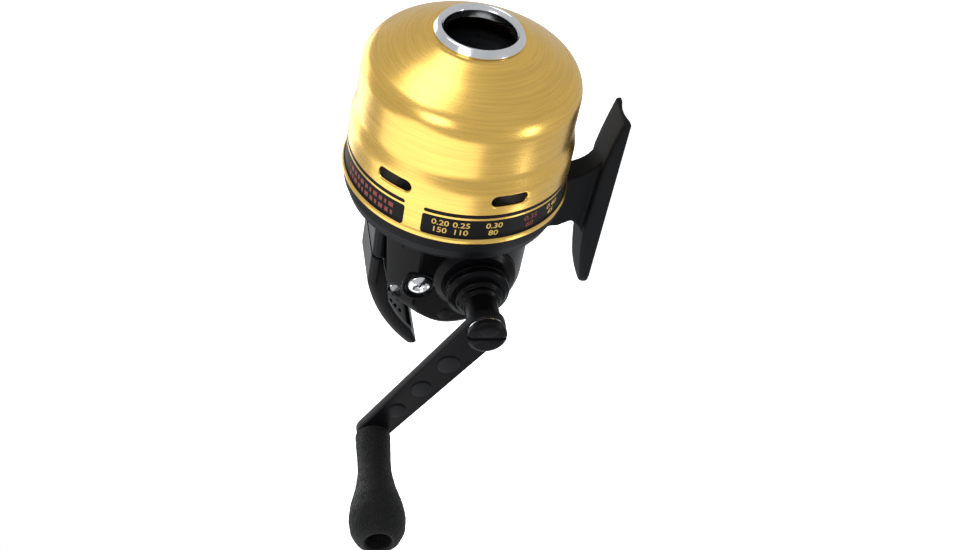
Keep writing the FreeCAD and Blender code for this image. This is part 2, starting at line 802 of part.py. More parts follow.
def pinion():
    gear = spool_axis("pinion")
    root = S.pinion_pitch_radius - S.tooth_height / 2
    tip = S.pinion_pitch_radius + S.tooth_height / 2 + 0.1
    gear.revolve([
        (S.shaft_radius + S.running_gap, -14.2),
        (root, -14.2),
        (root, -5.6),
        (3.3, -5.6),
        (3.3, 14.6),
        (S.shaft_radius + S.running_gap, 14.6),
    ])
    # the local Y side faces the reel's +Y; teeth sit on both Y sides of the ten-tooth ring
    tooth = gear.outline("XY", [
        (-0.38, root - 0.2), (0.38, root - 0.2), (0.18, tip), (-0.18, tip),
    ], -14.2)
    gear.pad(tooth, 7.6)
    gear.around(S.pinion_teeth)


def pinion_bearing():
    bearing = spool_axis("pinion_bearing")
    rear = -S.collar_length + 0.6
    bearing.revolve(ring_points(3.3 + S.running_gap, 5.03, rear + 0.6, 1.1))


def drive_gear():
    gear = crank_axis("drive_gear")
    root = S.pinion_pitch_radius - S.tooth_height / 2
    face = root + 0.15
    floor = face + S.tooth_height + 0.1
    bore = S.crankshaft_radius + S.press_gap
    gear.revolve([
        (bore, floor),
        (S.gear_radius, floor),
        (S.gear_radius, floor + 2.0),
        (S.crankshaft_radius + 2.4, floor + 2.0),
        (S.crankshaft_radius + 2.4, floor + 6.6),
        (bore, floor + 6.6),
    ])
    # each rib passes the crank axis at the offset between the axes, so it lies along the pinion in mesh
    pitch = 2 * math.pi * S.pinion_pitch_radius / S.pinion_teeth
    middle = S.crank_drop + pitch / 2
    rib = gear.outline("XY", box_points(9.2, S.gear_radius - 1.7, middle - 0.2, middle + 0.2), face)
    gear.pad(rib, S.tooth_height + 0.3)
    gear.around(S.gear_teeth)


def crankshaft():
    shaft = crank_axis("crankshaft")
    shaft.revolve([
        (0, -19.9),
        (S.crankshaft_radius - 0.3, -19.9),
        (S.crankshaft_radius, -19.5),
        (S.crankshaft_radius, S.arm_face - 0.6),
        (0, S.arm_face - 0.6),
    ])


def drag_stack():
    """Washers on the drive gear's hub: friction washers, steel washers and the spring washer."""
    hub = S.crankshaft_radius + 2.42
    root = S.pinion_pitch_radius - S.tooth_height / 2
    low = root + 0.15 + S.tooth_height + 0.1 + 2.02
    fibre = crank_axis("drag_friction_washers")
    fibre.revolve(ring_points(hub, 10.5, low, low + 0.8))
    fibre.revolve(ring_points(hub, 10.5, low + 1.72, low + 2.52))
    steel = crank_axis("drag_steel_washers")
    steel.revolve(ring_points(hub, 10.8, low + 0.82, low + 1.7))
    steel.revolve(ring_points(hub, 10.8, low + 2.54, low + 3.54))
    spring = crank_axis("drag_spring_washer")
    spring.revolve([(hub, low + 3.56), (8.2, low + 4.1), (8.2, low + 4.6), (hub, low + 4.06)])


def drag_sleeve():
    """The threaded sleeve that the drag dial turns to squeeze the washers."""
    root = S.pinion_pitch_radius - S.tooth_height / 2
    low = root + 0.15 + S.tooth_height + 0.1 + 6.8
    sleeve = crank_axis("drag_sleeve")
    inner = S.crankshaft_radius + S.running_gap
    outer = S.crankshaft_radius + 1.55
    sleeve.revolve([
        (inner, low), (7.6, low), (7.6, low + 1.4), (outer, low + 1.4), (outer, 28.6), (inner, 28.6),
    ])


def drag_dial():
    bore = S.crankshaft_radius + 1.57
    back = 24.1
    dial = crank_axis("drag_dial")
    dial.revolve([
        (bore, back),
        (S.dial_radius - 1.3, back),
        (S.dial_radius - 1.3, back + 1.1),
        (S.dial_radius, back + 1.1),
        (S.dial_radius, back + 2.3),
        (S.dial_radius - 0.7, back + 2.5),
        (S.dial_radius - 0.7, back + 2.9),
        (S.dial_radius, back + 3.1),
        (S.dial_radius, S.dial_face - 0.7),
        (S.dial_radius - 0.7, S.dial_face),
        (bore, S.dial_face),
    ])


def crank_collar():
    collar = crank_axis("crank_collar")
    bore = S.crankshaft_radius + 0.02
    low = S.dial_face + 0.15
    high = S.arm_face - S.arm_thickness
    collar.revolve([
        (bore, low),
        (6.4, low),
        (6.4, low + 1.3),
        (5.4, low + 1.9),
        (5.4, low + 3.0),
        (4.6, low + 3.4),
        (4.6, high),
        (bore, high),
    ])


def anti_reverse_ratchet():
    wheel = crank_axis("anti_reverse_ratchet")
    wheel.revolve(ring_points(S.crankshaft_radius + S.press_gap, 6.6, -11.5, -10))
    tooth = wheel.outline("XY", [(-1.7, 6.1), (1.5, 6.1), (1.4, 8.2), (1.0, 8.2)], -11.5)
    wheel.pad(tooth, 1.5)
    wheel.around(12)


def anti_reverse_pawl():
    """The pawl stands just clear of the ratchet's teeth."""
    u, v = PAWL_PLACE
    pawl = crank_axis("anti_reverse_pawl")
    pawl.pad(pawl.circle("XY", PAWL_PLACE, 2.0, -11.6), 1.7)
    pawl.pad(pawl.outline("XY", [
        (u - 0.6, v - 1.6),
        (u + 3.4, v - 0.2),
        (u + 7.4, v - 0.6),
        (u + 7.2, v + 1.0),
        (u + 3.2, v + 1.6),
        (u, v + 1.8),
    ], -11.6), 1.7)
    pawl.pocket(pawl.circle("XY", PAWL_PLACE, 0.9 + S.running_gap, -12), 3)


def pawl_post():
    """The pin in the left wall that the pawl turns on."""
    post = crank_axis("pawl_post")
    post.pad(post.circle("XY", PAWL_PLACE, 0.9, -20.6), 11.0)
    post.pad(post.circle("XY", PAWL_PLACE, 1.8, -9.8), 0.8)


def cam_wheel_place():
    """The cam wheel meshes with the small gear on the crankshaft."""
    distance = CAM_MODULE * sum(CAM_TEETH) / 2
    forward, up = on_circle(distance, CAM_ANGLE)
    return S.rim_forward - S.crank_back + forward, 0, S.axis_height - S.crank_drop + up


def oscillation_pinion():
    """A small gear on the crankshaft that drives the cam wheel."""
    build_spur(crank_axis("oscillation_pinion"), CAM_TEETH[0], S.crankshaft_radius + S.press_gap, 0)


def oscillation_cam_wheel():
    """Its pin moves the spool to and fro."""
    small, large = CAM_TEETH
    mesh_turn = CAM_ANGLE * (1 + small / large) + 180 + 180 / large
    wheel = Piece("oscillation_cam_wheel", cam_wheel_place(), "outward")
    build_spur(wheel, large, 1.1 + S.running_gap, mesh_turn)
    wheel.pad(wheel.circle("XY", (2.3, 0), 0.8, -9.6), 2.1)


def cam_wheel_axle():
    axle = Piece("cam_wheel_axle", cam_wheel_place(), "outward")
    axle.pad(axle.circle("XY", (0, 0), 1.1, -16.4), 12.9)
    axle.pad(axle.circle("XY", (0, 0), 2.4, -5.5), 1.4)


def build_spur(piece, teeth, bore, turn):
    """A spur gear 1.8 mm thick whose teeth leave room for play."""
    low = -7.6
    pitch = CAM_MODULE * teeth / 2
    root = pitch - 1.15 * CAM_MODULE
    tip = pitch + 0.8 * CAM_MODULE
    piece.revolve(ring_points(bore, root, low, low + 1.8))
    wide = 0.62 * math.pi * CAM_MODULE / 2
    narrow = 0.32 * math.pi * CAM_MODULE / 2
    cos, sin = on_circle(1, turn)
    flat = [(root - 0.25, -wide), (tip, -narrow), (tip, narrow), (root - 0.25, wide)]
    tooth = [(u * cos - v * sin, u * sin + v * cos) for u, v in flat]
    piece.pad(piece.outline("XY", tooth, low), 1.8)
    piece.around(teeth)


# ---------------------------------------------------------------- thumb button

def top_cover():
    """The fixed cover in front of the thumb button."""
    cover = spool_frame("top_cover")
    corners = [(-13.1, 18.9), (-24.2, 18.0), (-24.2, 21.2), (-11.5, 21.4)]
    side = cover.outline("XZ", corners, -S.button_width / 2)
    cover.pad(side, S.button_width)
    cover.fillet(BUTTON_ROUND, lambda edge: edge.BoundBox.ZMin > 20.5 and edge.BoundBox.XLength > 10)


def thumb_button():
    button = spool_frame("thumb_button")
    side = button.outline("XZ", [
        (-24.6, 18.4),
        (-33.0, 16.2),
        (-41.0, 14.9, 40),
        (-53.2, 6.9),
        (-57.8, 4.9),
        (-59.2, 7.6, -50),
        (-35.0, 21.5),
        (-24.6, 21.4),
    ], -S.button_width / 2)
    button.pad(side, S.button_width)
    button.fillet(BUTTON_ROUND, lambda edge: edge.BoundBox.ZMin > 4.5 and edge.BoundBox.XLength > 8
                  and edge.BoundBox.ZMax > 20 and edge.BoundBox.YLength < 0.1)
    # the button is a moulded shell, open below
    skin = S.button_skin
    hollow = button.outline("XZ", [
        (-24.6 - skin, 10.0),
        (-24.6 - skin, 21.4 - skin),
        (-35.0, 21.5 - skin, 50),
        (-54.6, 7.6),
        (-54.6, 2.0),
    ], skin - S.button_width / 2)
    button.pocket(hollow, S.button_width - 2 * skin)
    # the finger reaches down inside the housing to the end of the centre shaft
    back = -SHAFT_END - 0.2
    finger = button.outline("XZ", [
        (-33.0, 20.4), (-26.2, 20.6), (-26.2, 13.6), (-30.2, 8.6), (back, 3.0), (back, -2.6),
        (back - 1.7, -2.6), (back - 1.7, 1.4), (-33.4, 7.2), (-31.6, 10.8), (-31.6, 14.4),
    ], -1.9)
    button.pad(finger, 3.8)
    button.pocket(button.circle("XZ", (-S.pivot_back, S.pivot_rise), 1.45 + S.running_gap, -12), 24)


def pivot_pin():
    pin = spool_frame("thumb_pivot_pin")
    pin.pad(pin.circle("XZ", (-S.pivot_back, S.pivot_rise), 1.45, -17.2), 34.4)


# ---------------------------------------------------------------- crank arm and grip

def along_arm(distance, offset):
    """A point on the arm: distance out from the crank axis and offset to the upper side."""
    cos, sin = math.cos(math.radians(ARM_ANGLE)), math.sin(math.radians(ARM_ANGLE))
    return distance * cos + offset * sin, distance * sin - offset * cos


def handle_arm():
    arm = crank_axis("handle_arm")
    low = S.arm_face - S.arm_thickness
    root, tip, reach = S.arm_root_radius, S.arm_tip_radius, S.arm_length
    outline = [
        (*along_arm(size(0), -root), root * 1.0001),
        (*along_arm(-root, size(0)), root * 1.0001),
        along_arm(size(0), root),
        (*along_arm(reach, tip), tip * 1.0001),
        (*along_arm(reach + tip, size(0)), tip * 1.0001),
        along_arm(reach, -tip),
    ]
    arm.pad(arm.outline("XY", outline, low), S.arm_thickness)
    for distance, radius in ((15.1, 3.1), (26.5, 2.8), (37.0, 2.5)):
        arm.pad(arm.circle("XY", along_arm(size(distance), size(-0.3)), radius, S.arm_face), 0.4)
    arm.pocket(arm.circle("XY", (0, 0), S.crankshaft_radius + 0.02, low - 1), S.arm_thickness + 2)
    arm.pocket(arm.circle("XY", along_arm(reach, size(0)), 1.8, low - 1), S.arm_thickness + 2)


def handle_washer():
    washer = crank_axis("handle_washer")
    washer.revolve(ring_points(2.2, S.screw_head_radius - 0.2, S.arm_face + 0.01, S.arm_face + 0.4))


def handle_screw():
    low = S.arm_face + 0.42
    screw = crank_axis("handle_screw")
    screw.revolve([
        (0, S.arm_face - 0.58),
        (1.9, S.arm_face - 0.58),
        (1.9, low),
        (S.screw_head_radius, low),
        (S.screw_head_radius, low + 1.8),
        (S.screw_head_radius - 0.6, low + 2.4),
        (0, low + 2.4),
    ])
    screw.pocket(screw.outline("XY", box_points(-0.6, 0.6, -6, 6), low + 1.2), 2)


def grip_place():
    x, z = along_arm(S.arm_length, size(0))
    return S.rim_forward - S.crank_back + x, -S.arm_face, S.axis_height - S.crank_drop + z


def grip():
    knob = Piece("grip", grip_place(), "grip")
    knob.revolve([
        (1.65, 0.9),
        (S.grip_base_radius, 0.9),
        (S.grip_base_radius, 3.0, -60),
        (S.grip_waist_radius, 12.0, -32),
        (S.grip_bulb_radius - 0.9, 24.5, 16),
        (S.grip_bulb_radius, 29.5, 9.5),
        (S.grip_hole_radius + 1.2, S.grip_length + 0.2),
        (S.grip_hole_radius, S.grip_length - 0.4),
        (S.grip_hole_radius, S.grip_length - 6),
        (1.65, S.grip_length - 6),
    ])


def grip_washer():
    washer = Piece("grip_washer", grip_place(), "grip")
    washer.revolve(ring_points(1.65, 3.4, 0.3, 0.85))


def grip_spindle():
    spindle = Piece("grip_spindle", grip_place(), "grip")
    top = S.grip_length - 5.95
    spindle.revolve([(0, -2.7), (1.6, -2.7), (1.6, top), (2.9, top), (2.9, top + 0.9), (0, top + 1.4)])


# ---------------------------------------------------------------- build, check and write

for make in (
    front_cover, line_guide_ring, cover_seal, body_ring, deck_plate, gear_housing, crank_bearing_plate,
    crank_bearing, left_bearing, reel_foot, foot_screws, side_screws, deck_screws, spool, wound_line,
    oscillation_yoke, centre_shaft, shaft_clip, shaft_guide, shaft_spring, spinner_head, brake_ring,
    spinner_nut, pickup_pin,
    pinion, pinion_bearing, drive_gear, crankshaft, drag_stack, drag_sleeve, drag_dial, crank_collar,
    anti_reverse_ratchet, anti_reverse_pawl, pawl_post, oscillation_pinion, oscillation_cam_wheel,
    cam_wheel_axle, top_cover, thumb_button, pivot_pin,
    handle_arm, handle_washer, handle_screw, grip, grip_washer, grip_spindle,
):
    make()
doc.recompute()

for item in doc.Objects:
    if "Invalid" in item.State or "Error" in item.State:
        raise RuntimeError(f"{item.Label} did not compute: {item.State}")
for node in nodes:
    if node.Shape.isNull() or not node.Shape.isValid() or not node.Shape.Solids:
        raise RuntimeError(f"{node.Label} has no valid solid")

os.makedirs("parts", exist_ok=True)
for node in nodes:
    node.Shape.exportStep(os.path.join("parts", node.Label + ".step"))
    print(node.Label, len(node.Shape.Solids), round(node.Shape.Volume, 1))
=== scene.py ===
import json
import math

import bmesh
import bpy
from mathutils import Matrix, Vector, noise


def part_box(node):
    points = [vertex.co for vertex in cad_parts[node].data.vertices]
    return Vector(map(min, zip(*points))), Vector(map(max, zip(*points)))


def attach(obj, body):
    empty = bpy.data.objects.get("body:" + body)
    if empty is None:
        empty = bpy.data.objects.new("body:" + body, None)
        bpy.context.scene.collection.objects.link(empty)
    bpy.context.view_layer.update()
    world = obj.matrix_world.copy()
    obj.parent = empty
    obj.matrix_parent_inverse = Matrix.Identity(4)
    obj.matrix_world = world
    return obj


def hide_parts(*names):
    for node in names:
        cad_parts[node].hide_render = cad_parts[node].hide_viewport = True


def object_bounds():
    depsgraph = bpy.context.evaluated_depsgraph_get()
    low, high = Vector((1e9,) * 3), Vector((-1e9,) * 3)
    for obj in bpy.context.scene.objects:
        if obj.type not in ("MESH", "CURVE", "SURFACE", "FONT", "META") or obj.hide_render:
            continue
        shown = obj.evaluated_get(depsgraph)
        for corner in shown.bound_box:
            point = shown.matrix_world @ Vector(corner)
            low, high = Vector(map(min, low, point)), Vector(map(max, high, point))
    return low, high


bl_info = {
    "name": "Spincast Reel",
    "version": (1, 0, 0),
    "blender": (4, 5, 0),
    "location": "3D View > Sidebar > Reel",
    "description": "Builds the finished look of a closed-face fishing reel around its frame",
    "category": "Object",
}

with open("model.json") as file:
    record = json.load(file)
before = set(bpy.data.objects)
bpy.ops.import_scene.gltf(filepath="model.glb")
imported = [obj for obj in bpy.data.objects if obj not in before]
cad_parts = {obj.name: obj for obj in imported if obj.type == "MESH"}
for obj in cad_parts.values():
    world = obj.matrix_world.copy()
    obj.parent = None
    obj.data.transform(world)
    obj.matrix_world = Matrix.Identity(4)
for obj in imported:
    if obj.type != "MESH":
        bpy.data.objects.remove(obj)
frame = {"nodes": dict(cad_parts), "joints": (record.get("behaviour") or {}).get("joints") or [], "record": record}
CAD_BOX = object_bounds()

MM = 0.001
JOINTS = {joint["name"]: joint for joint in frame["joints"]}
RIM = Vector((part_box("front_cover")[0][0], 0, JOINTS["pinion_spin"]["pos_m"][2])) / MM
CRANK = Vector(JOINTS["crank_spin"]["pos_m"]) / MM
GRIP = Vector(JOINTS["grip_spin"]["pos_m"]) / MM
GRIP_AXIS = Vector(JOINTS["grip_spin"]["axis"])
FORWARD = Vector((1, 0, 0))
OUTWARD = Vector((0, -1, 0))
MERGE = 2e-6
# the faces of a block from its four lower and four upper corners
BLOCK_FACES = [(0, 1, 2, 3), (4, 5, 6, 7), (0, 1, 5, 4), (1, 2, 6, 5), (2, 3, 7, 6), (3, 0, 4, 7)]
# the side screws and the blind plug: forward of the rim and above the spool axis
SIDE_SCREW = (-24.4, 9.4)
SIDE_PLUG = (-35.0, 1.0)


# ---------------------------------------------------------------- places and outlines

def along(origin, direction, across=(0, 0, 1)):
    """A place whose local Z runs along a direction and whose local X is nearest to across; in millimetres."""
    up = Vector(direction).normalized()
    side = Vector(across)
    side = (side - up * side.dot(up)).normalized()
    turn = Matrix((side, up.cross(side), up)).transposed()
    return Matrix.Translation(origin) @ turn.to_4x4()


ON_SPOOL = along(RIM, FORWARD)
ON_CRANK = along((CRANK.x, 0, CRANK.z), OUTWARD, (1, 0, 0))
ON_GRIP = along(GRIP, GRIP_AXIS, (1, 0, 0))


def rounded(points, steps=6):
    """A polyline with its corners rounded: a point is (u, v) or (u, v, radius)."""
    line = []
    for index, point in enumerate(points):
        here = Vector(point[:2])
        inner = 0 < index < len(points) - 1
        if len(point) < 3 or not inner:
            line.append(tuple(here))
            continue
        before = Vector(points[index - 1][:2]) - here
        after = Vector(points[index + 1][:2]) - here
        half = before.angle(after) / 2
        reach = min(point[2] / math.tan(half), before.length * 0.499, after.length * 0.499)
        radius = reach * math.tan(half)
        start = here + before.normalized() * reach
        end = here + after.normalized() * reach
        middle = here + (before.normalized() + after.normalized()).normalized() * (radius / math.sin(half))
        line += arc(start, end, middle, steps)
    return line


def arc(start, end, middle, steps):
    """Points on the shorter arc about a middle, both ends included."""
    first = math.atan2(start.y - middle.y, start.x - middle.x)
    sweep = math.atan2(end.y - middle.y, end.x - middle.x) - first
    sweep = (sweep + math.pi) % (2 * math.pi) - math.pi
    radius = (start - middle).length
    turns = [first + sweep * step / steps for step in range(steps + 1)]
    return [(middle.x + radius * math.cos(turn), middle.y + radius * math.sin(turn)) for turn in turns]


def polar(radius, degrees):
    """A point on a circle."""
    return radius * math.cos(math.radians(degrees)), radius * math.sin(math.radians(degrees))


def on_wall(radius, forward, degrees):
    """A point about the spool axis; degrees run from the crank side towards the top."""
    y, z = polar(radius, degrees)
    return Vector((RIM.x + forward, -y, RIM.z + z))


# ---------------------------------------------------------------- meshes

def new_piece(name, verts, faces, body, slot, material, smooth=40):
    """A mesh piece from points in millimetres, ridden on a body and given its finish."""
    work = bmesh.new()
    made = [work.verts.new(Vector(vert) * MM) for vert in verts]
    for face in faces:
        try:
            work.faces.new([made[n] for n in face])
        except ValueError:
            pass
    bmesh.ops.remove_doubles(work, verts=work.verts, dist=MERGE)
    bmesh.ops.dissolve_degenerate(work, edges=work.edges, dist=MERGE / 4)
    bmesh.ops.recalc_face_normals(work, faces=work.faces)
    mesh = bpy.data.meshes.new(name)
    work.to_mesh(mesh)
    work.free()
    return finish_piece(bpy.data.objects.new(name, mesh), body, material, smooth)


def finish_piece(piece, body, material, smooth=40):
    """Links a piece, shades it, rides it and gives it its finish."""
    if piece.name not in bpy.context.scene.collection.objects:
        bpy.context.scene.collection.objects.link(piece)
    mesh = piece.data
    mesh.materials.clear()
    mesh.materials.append(material)
    mesh.shade_smooth()
    if smooth < 180:
        mesh.set_sharp_from_angle(angle=math.radians(smooth))
    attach(piece, body)
    return piece


def turned_mesh(profile, place, steps=128):
    """Points and faces of a turned shape: profile is (radius, height) down one side and up the other."""
    verts = []
    faces = []
    for radius, height in profile:
        for step in range(steps):
            x, y = polar(radius, 360 * step / steps)
            verts.append(place @ Vector((x, y, height)))
    rows = len(profile)
    for row in range(rows):
        below, above = row * steps, (row + 1) % rows * steps
        for step in range(steps):
            after = (step + 1) % steps
            faces.append((below + step, below + after, above + after, above + step))
    return verts, faces


def turned(name, profile, place, body, slot, material, steps=128, smooth=40):
    """A turned piece with a closed profile."""
    verts, faces = turned_mesh(profile, place, steps)
    return new_piece(name, verts, faces, body, slot, material, smooth)


def slab_mesh(outline, low, high, edge, place, steps=4):
    """Points and faces of a plate with rounded rims. The outline is convex and turns left."""
    count = len(outline)
    normals = []
    for index in range(count):
        chord = Vector(outline[(index + 1) % count]) - Vector(outline[index - 1])
        normals.append(Vector((chord.y, -chord.x)).normalized())
    rings = []
    for step in range(steps + 1):
        inset, rise = polar(edge, 90 * step / steps)
        rings.append((edge - rise, low + edge - inset))
    rings += [(inset, high + low - height) for inset, height in reversed(rings)]
    verts = []
    for inset, height in rings:
        for point, normal in zip(outline, normals):
            spot = Vector(point) - normal * inset
            verts.append(place @ Vector((spot.x, spot.y, height)))
    faces = [tuple(reversed(range(count))), tuple(range(len(verts) - count, len(verts)))]
    for ring in range(len(rings) - 1):
        for index in range(count):
            after = (index + 1) % count
            faces.append((ring * count + index, ring * count + after,
                          (ring + 1) * count + after, (ring + 1) * count + index))
    return verts, faces


def joined(*parts):
    """Several (points, faces) as one."""
    verts = []
    faces = []
    for part_verts, part_faces in parts:
        base = len(verts)
        verts += part_verts
        faces += [tuple(base + n for n in face) for face in part_faces]
    return verts, faces


def apply_modifiers(piece):
    """Bakes a piece's modifiers into its mesh."""
    graph = bpy.context.evaluated_depsgraph_get()
    mesh = bpy.data.meshes.new_from_object(piece.evaluated_get(graph))
    old = piece.data
    piece.modifiers.clear()
    piece.data = mesh
    bpy.data.meshes.remove(old)


def moulded(name, node, body, material, voxel, rounds):
    """A copy of a node's shape with the soft rounded edges of a moulded part, in the node's place."""
    piece = bpy.data.objects.new(name, frame["nodes"][node].data.copy())
    bpy.context.scene.collection.objects.link(piece)
    skin = piece.modifiers.new("Skin", "REMESH")
    skin.mode = "VOXEL"
    skin.voxel_size = voxel * MM
    soft = piece.modifiers.new("Soft", "SMOOTH")
    soft.factor = 0.5
    soft.iterations = rounds
    apply_modifiers(piece)
    finish_piece(piece, body, material, 180)
    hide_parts(node)
    return piece


def cut(piece, verts, faces, bevel=0.0):
    """Cuts a shape out of a piece and eases the new edges."""
    work = bmesh.new()
    made = [work.verts.new(Vector(vert) * MM) for vert in verts]
    for face in faces:
        work.faces.new([made[n] for n in face])
    bmesh.ops.recalc_face_normals(work, faces=work.faces)
    mesh = bpy.data.meshes.new("cutter")
    work.to_mesh(mesh)
    work.free()
    cutter = bpy.data.objects.new("cutter", mesh)
    bpy.context.scene.collection.objects.link(cutter)
    less = piece.modifiers.new("Cut", "BOOLEAN")
    less.operation = "DIFFERENCE"
    less.solver = "EXACT"
    less.object = cutter
    if bevel:
        ease = piece.modifiers.new("Ease", "BEVEL")
        ease.width = bevel * MM
        ease.segments = 2
        ease.limit_method = "ANGLE"
        ease.angle_limit = math.radians(50)
    bpy.context.view_layer.update()
    apply_modifiers(piece)
    bpy.data.objects.remove(cutter)
    bpy.data.meshes.remove(mesh)
    piece.data.shade_smooth()
    piece.data.set_sharp_from_angle(angle=math.radians(40))


# ---------------------------------------------------------------- shader tools

class Value:
    """A shader socket that works in Python expressions."""

    def __init__(self, finish, socket):
        self.finish = finish
        self.socket = socket

    def math(self, operation, *others):
        inputs = dict(enumerate((self, *others)))
        return self.finish.node("ShaderNodeMath", {"operation": operation}, inputs)

    def __add__(self, other):
        return self.math("ADD", other)

    def __sub__(self, other):
        return self.math("SUBTRACT", other)

    def __rsub__(self, other):
        return (self * -1) + other

    def __mul__(self, other):
        return self.math("MULTIPLY", other)

    def __abs__(self):
        return self.math("ABSOLUTE")

    def clamped(self):
        return self.math("MAXIMUM", 0.0).math("MINIMUM", 1.0)


class Finish:
    """A node material under construction."""

    def __init__(self, name):
        self.material = bpy.data.materials.new(name)
        self.material.use_nodes = True
        self.tree = self.material.node_tree
        self.tree.nodes.clear()

    def node(self, kind, settings=None, inputs=None, output=0):
        """Adds a node: its settings first, then the values or links of its sockets."""
        node = self.tree.nodes.new(kind)
        for key, value in (settings or {}).items():
            if key == "stops":
                self.set_stops(node.color_ramp, value)
            else:
                setattr(node, key, value)
        for key, value in (inputs or {}).items():
            if isinstance(value, Value):
                self.tree.links.new(value.socket, node.inputs[key])
            else:
                node.inputs[key].default_value = value
        return Value(self, node.outputs[output]) if node.outputs else None

    @staticmethod
    def set_stops(ramp, stops):
        while len(ramp.elements) < len(stops):
            ramp.elements.new(0.5)
        for element, (place, colour) in zip(ramp.elements, stops):
            element.position = place
            element.color = colour

    def place(self):
        """The piece's own coordinates in millimetres, as three values."""
        point = self.node("ShaderNodeTexCoord", output="Object")
        scaled = self.node("ShaderNodeVectorMath", {"operation": "SCALE"}, {0: point, "Scale": 1 / MM})
        return [self.node("ShaderNodeSeparateXYZ", None, {0: scaled}, axis) for axis in range(3)]

    def vector(self, x, y, z):
        return self.node("ShaderNodeCombineXYZ", None, {0: x, 1: y, 2: z})

    def noise(self, vector, scale, detail=3.0, roughness=0.55):
        return self.node("ShaderNodeTexNoise", {"noise_dimensions": "3D"},
                         {"Vector": vector, "Scale": scale, "Detail": detail, "Roughness": roughness})

    def cracks(self, vector, scale):
        """Distance to the nearest border between irregular cells."""
        return self.node("ShaderNodeTexVoronoi", {"feature": "DISTANCE_TO_EDGE"},
                         {"Vector": vector, "Scale": scale})

    def ramp(self, value, low, high):
        """0 below low, 1 above high."""
        return self.node("ShaderNodeMapRange", {"interpolation_type": "SMOOTHSTEP"},
                         {"Value": value, "From Min": low, "From Max": high})

    def mix(self, factor, first, second):
        return self.node("ShaderNodeMix", {"data_type": "RGBA"}, {0: factor, 6: first, 7: second}, 2)

    def edges(self, low=0.5, high=0.56):
        """1 on sharp outer edges, 0 on flat faces: the mask for the paler edges that are a painted edge highlight.
        """
        pointed = self.node("ShaderNodeNewGeometry", output="Pointiness")
        return self.ramp(pointed, low, high)

    def bump(self, height, distance, strength=1.0):
        return self.node("ShaderNodeBump", None,
                         {"Height": height, "Distance": distance * MM, "Strength": strength})

    def surface(self, **sockets):
        """Ends the material in a Principled shader; underscores in names stand for spaces."""
        inputs = {key.replace("_", " "): value for key, value in sockets.items()}
        shader = self.node("ShaderNodeBsdfPrincipled", None, inputs)
        self.node("ShaderNodeOutputMaterial", None, {"Surface": shader})
        return self.material


def rgba(colour, factor=1.0):
    """A colour property as a shader colour, lightened or darkened."""
    return (*[min(max(channel * factor, 0.0), 1.0) for channel in colour[:3]], 1.0)


def finishes():
    """The materials by name, made once."""
    scene = bpy.context.scene
    colours = scene.reel_colours
    made = {}
    for name, maker in FINISH_MAKERS.items():
        title = name + "_finish"
        made[name] = bpy.data.materials.get(title) or maker(title, colours)
    return made


def spool_coordinates(finish):
    """Distance forward of the rim, distances across, and radius about the spool axis."""
    x, y, z = finish.place()
    forward = x - RIM.x
    rise = z - RIM.z
    radius = (y * y + rise * rise).math("SQRT")
    return forward, y, rise, radius


def printed(finish, forward, around, low, high, corner, gap):
    """1 inside a printed bar that runs round the wall and stops at the gaps with rounded corners."""
    middle, half = (low + high) / 2, (high - low) / 2
    across = (gap / 2 + corner) - around
    over = abs(forward - middle) - (half - corner)
    across_out = across.math("MAXIMUM", 0.0)
    over_out = over.math("MAXIMUM", 0.0)
    outside = (across_out * across_out + over_out * over_out).math("SQRT")
    inside = across.math("MAXIMUM", over).math("MINIMUM", 0.0)
    return 1 - finish.ramp(outside + inside - corner, -0.05, 0.05)


def make_gold(name, colours):
    """Brushed anodised metal with the printed bars of the capacity band."""
    finish = Finish(name)
    forward, y, rise, radius = spool_coordinates(finish)
    run = forward - radius
    lines = finish.noise(finish.vector(run * 6.0, y * 0.12, rise * 0.12), 1.0, 4.0, 0.65)
    streaks = finish.noise(finish.vector(run * 1.1, y * 0.05, rise * 0.05), 1.0, 3.0, 0.6)
    cloud = finish.noise(finish.vector(forward, y, rise), 0.09, 2.0)
    gold = finish.mix(finish.ramp(streaks, 0.3, 0.7), rgba(colours.gold, 0.86), rgba(colours.gold, 1.08))
    gold = finish.mix((lines * 0.5).clamped(), gold, rgba(colours.gold_light))
    # painted edge highlight: sharp edges, such as the slot rims, are mixed towards the pale gold
    gold = finish.mix(finish.edges(0.53, 0.62) * 0.6, gold, rgba(colours.gold_light, 1.1))
    turn = rise.math("ARCTAN2", y * -1)
    wrapped = (turn - math.radians(31)).math("WRAP", math.radians(60), math.radians(-60))
    around = abs(wrapped) * BAND_RADIUS
    panel = printed(finish, forward, around, 1.45, 7.55, 0.7, 4.9)
    line = printed(finish, forward, around, 8.2, 9.4, 0.59, 5.3)
    outer = finish.ramp(radius, 29.7, 29.8)
    ink = panel.math("MAXIMUM", line) * outer
    colour = finish.mix(ink, gold, rgba(colours.ink))
    rough = finish.ramp(lines, 0.2, 0.8) * 0.14 + cloud * 0.06 + 0.17
    rough = rough * (1 - ink) + ink * 0.5
    relief = lines * 0.6 + streaks * 0.4
    return finish.surface(
        Base_Color=colour,
        Metallic=1 - ink,
        Roughness=rough,
        Specular_IOR_Level=0.12,
        Normal=finish.bump(relief * (1 - ink * 0.8), 0.02, 0.55),
    )


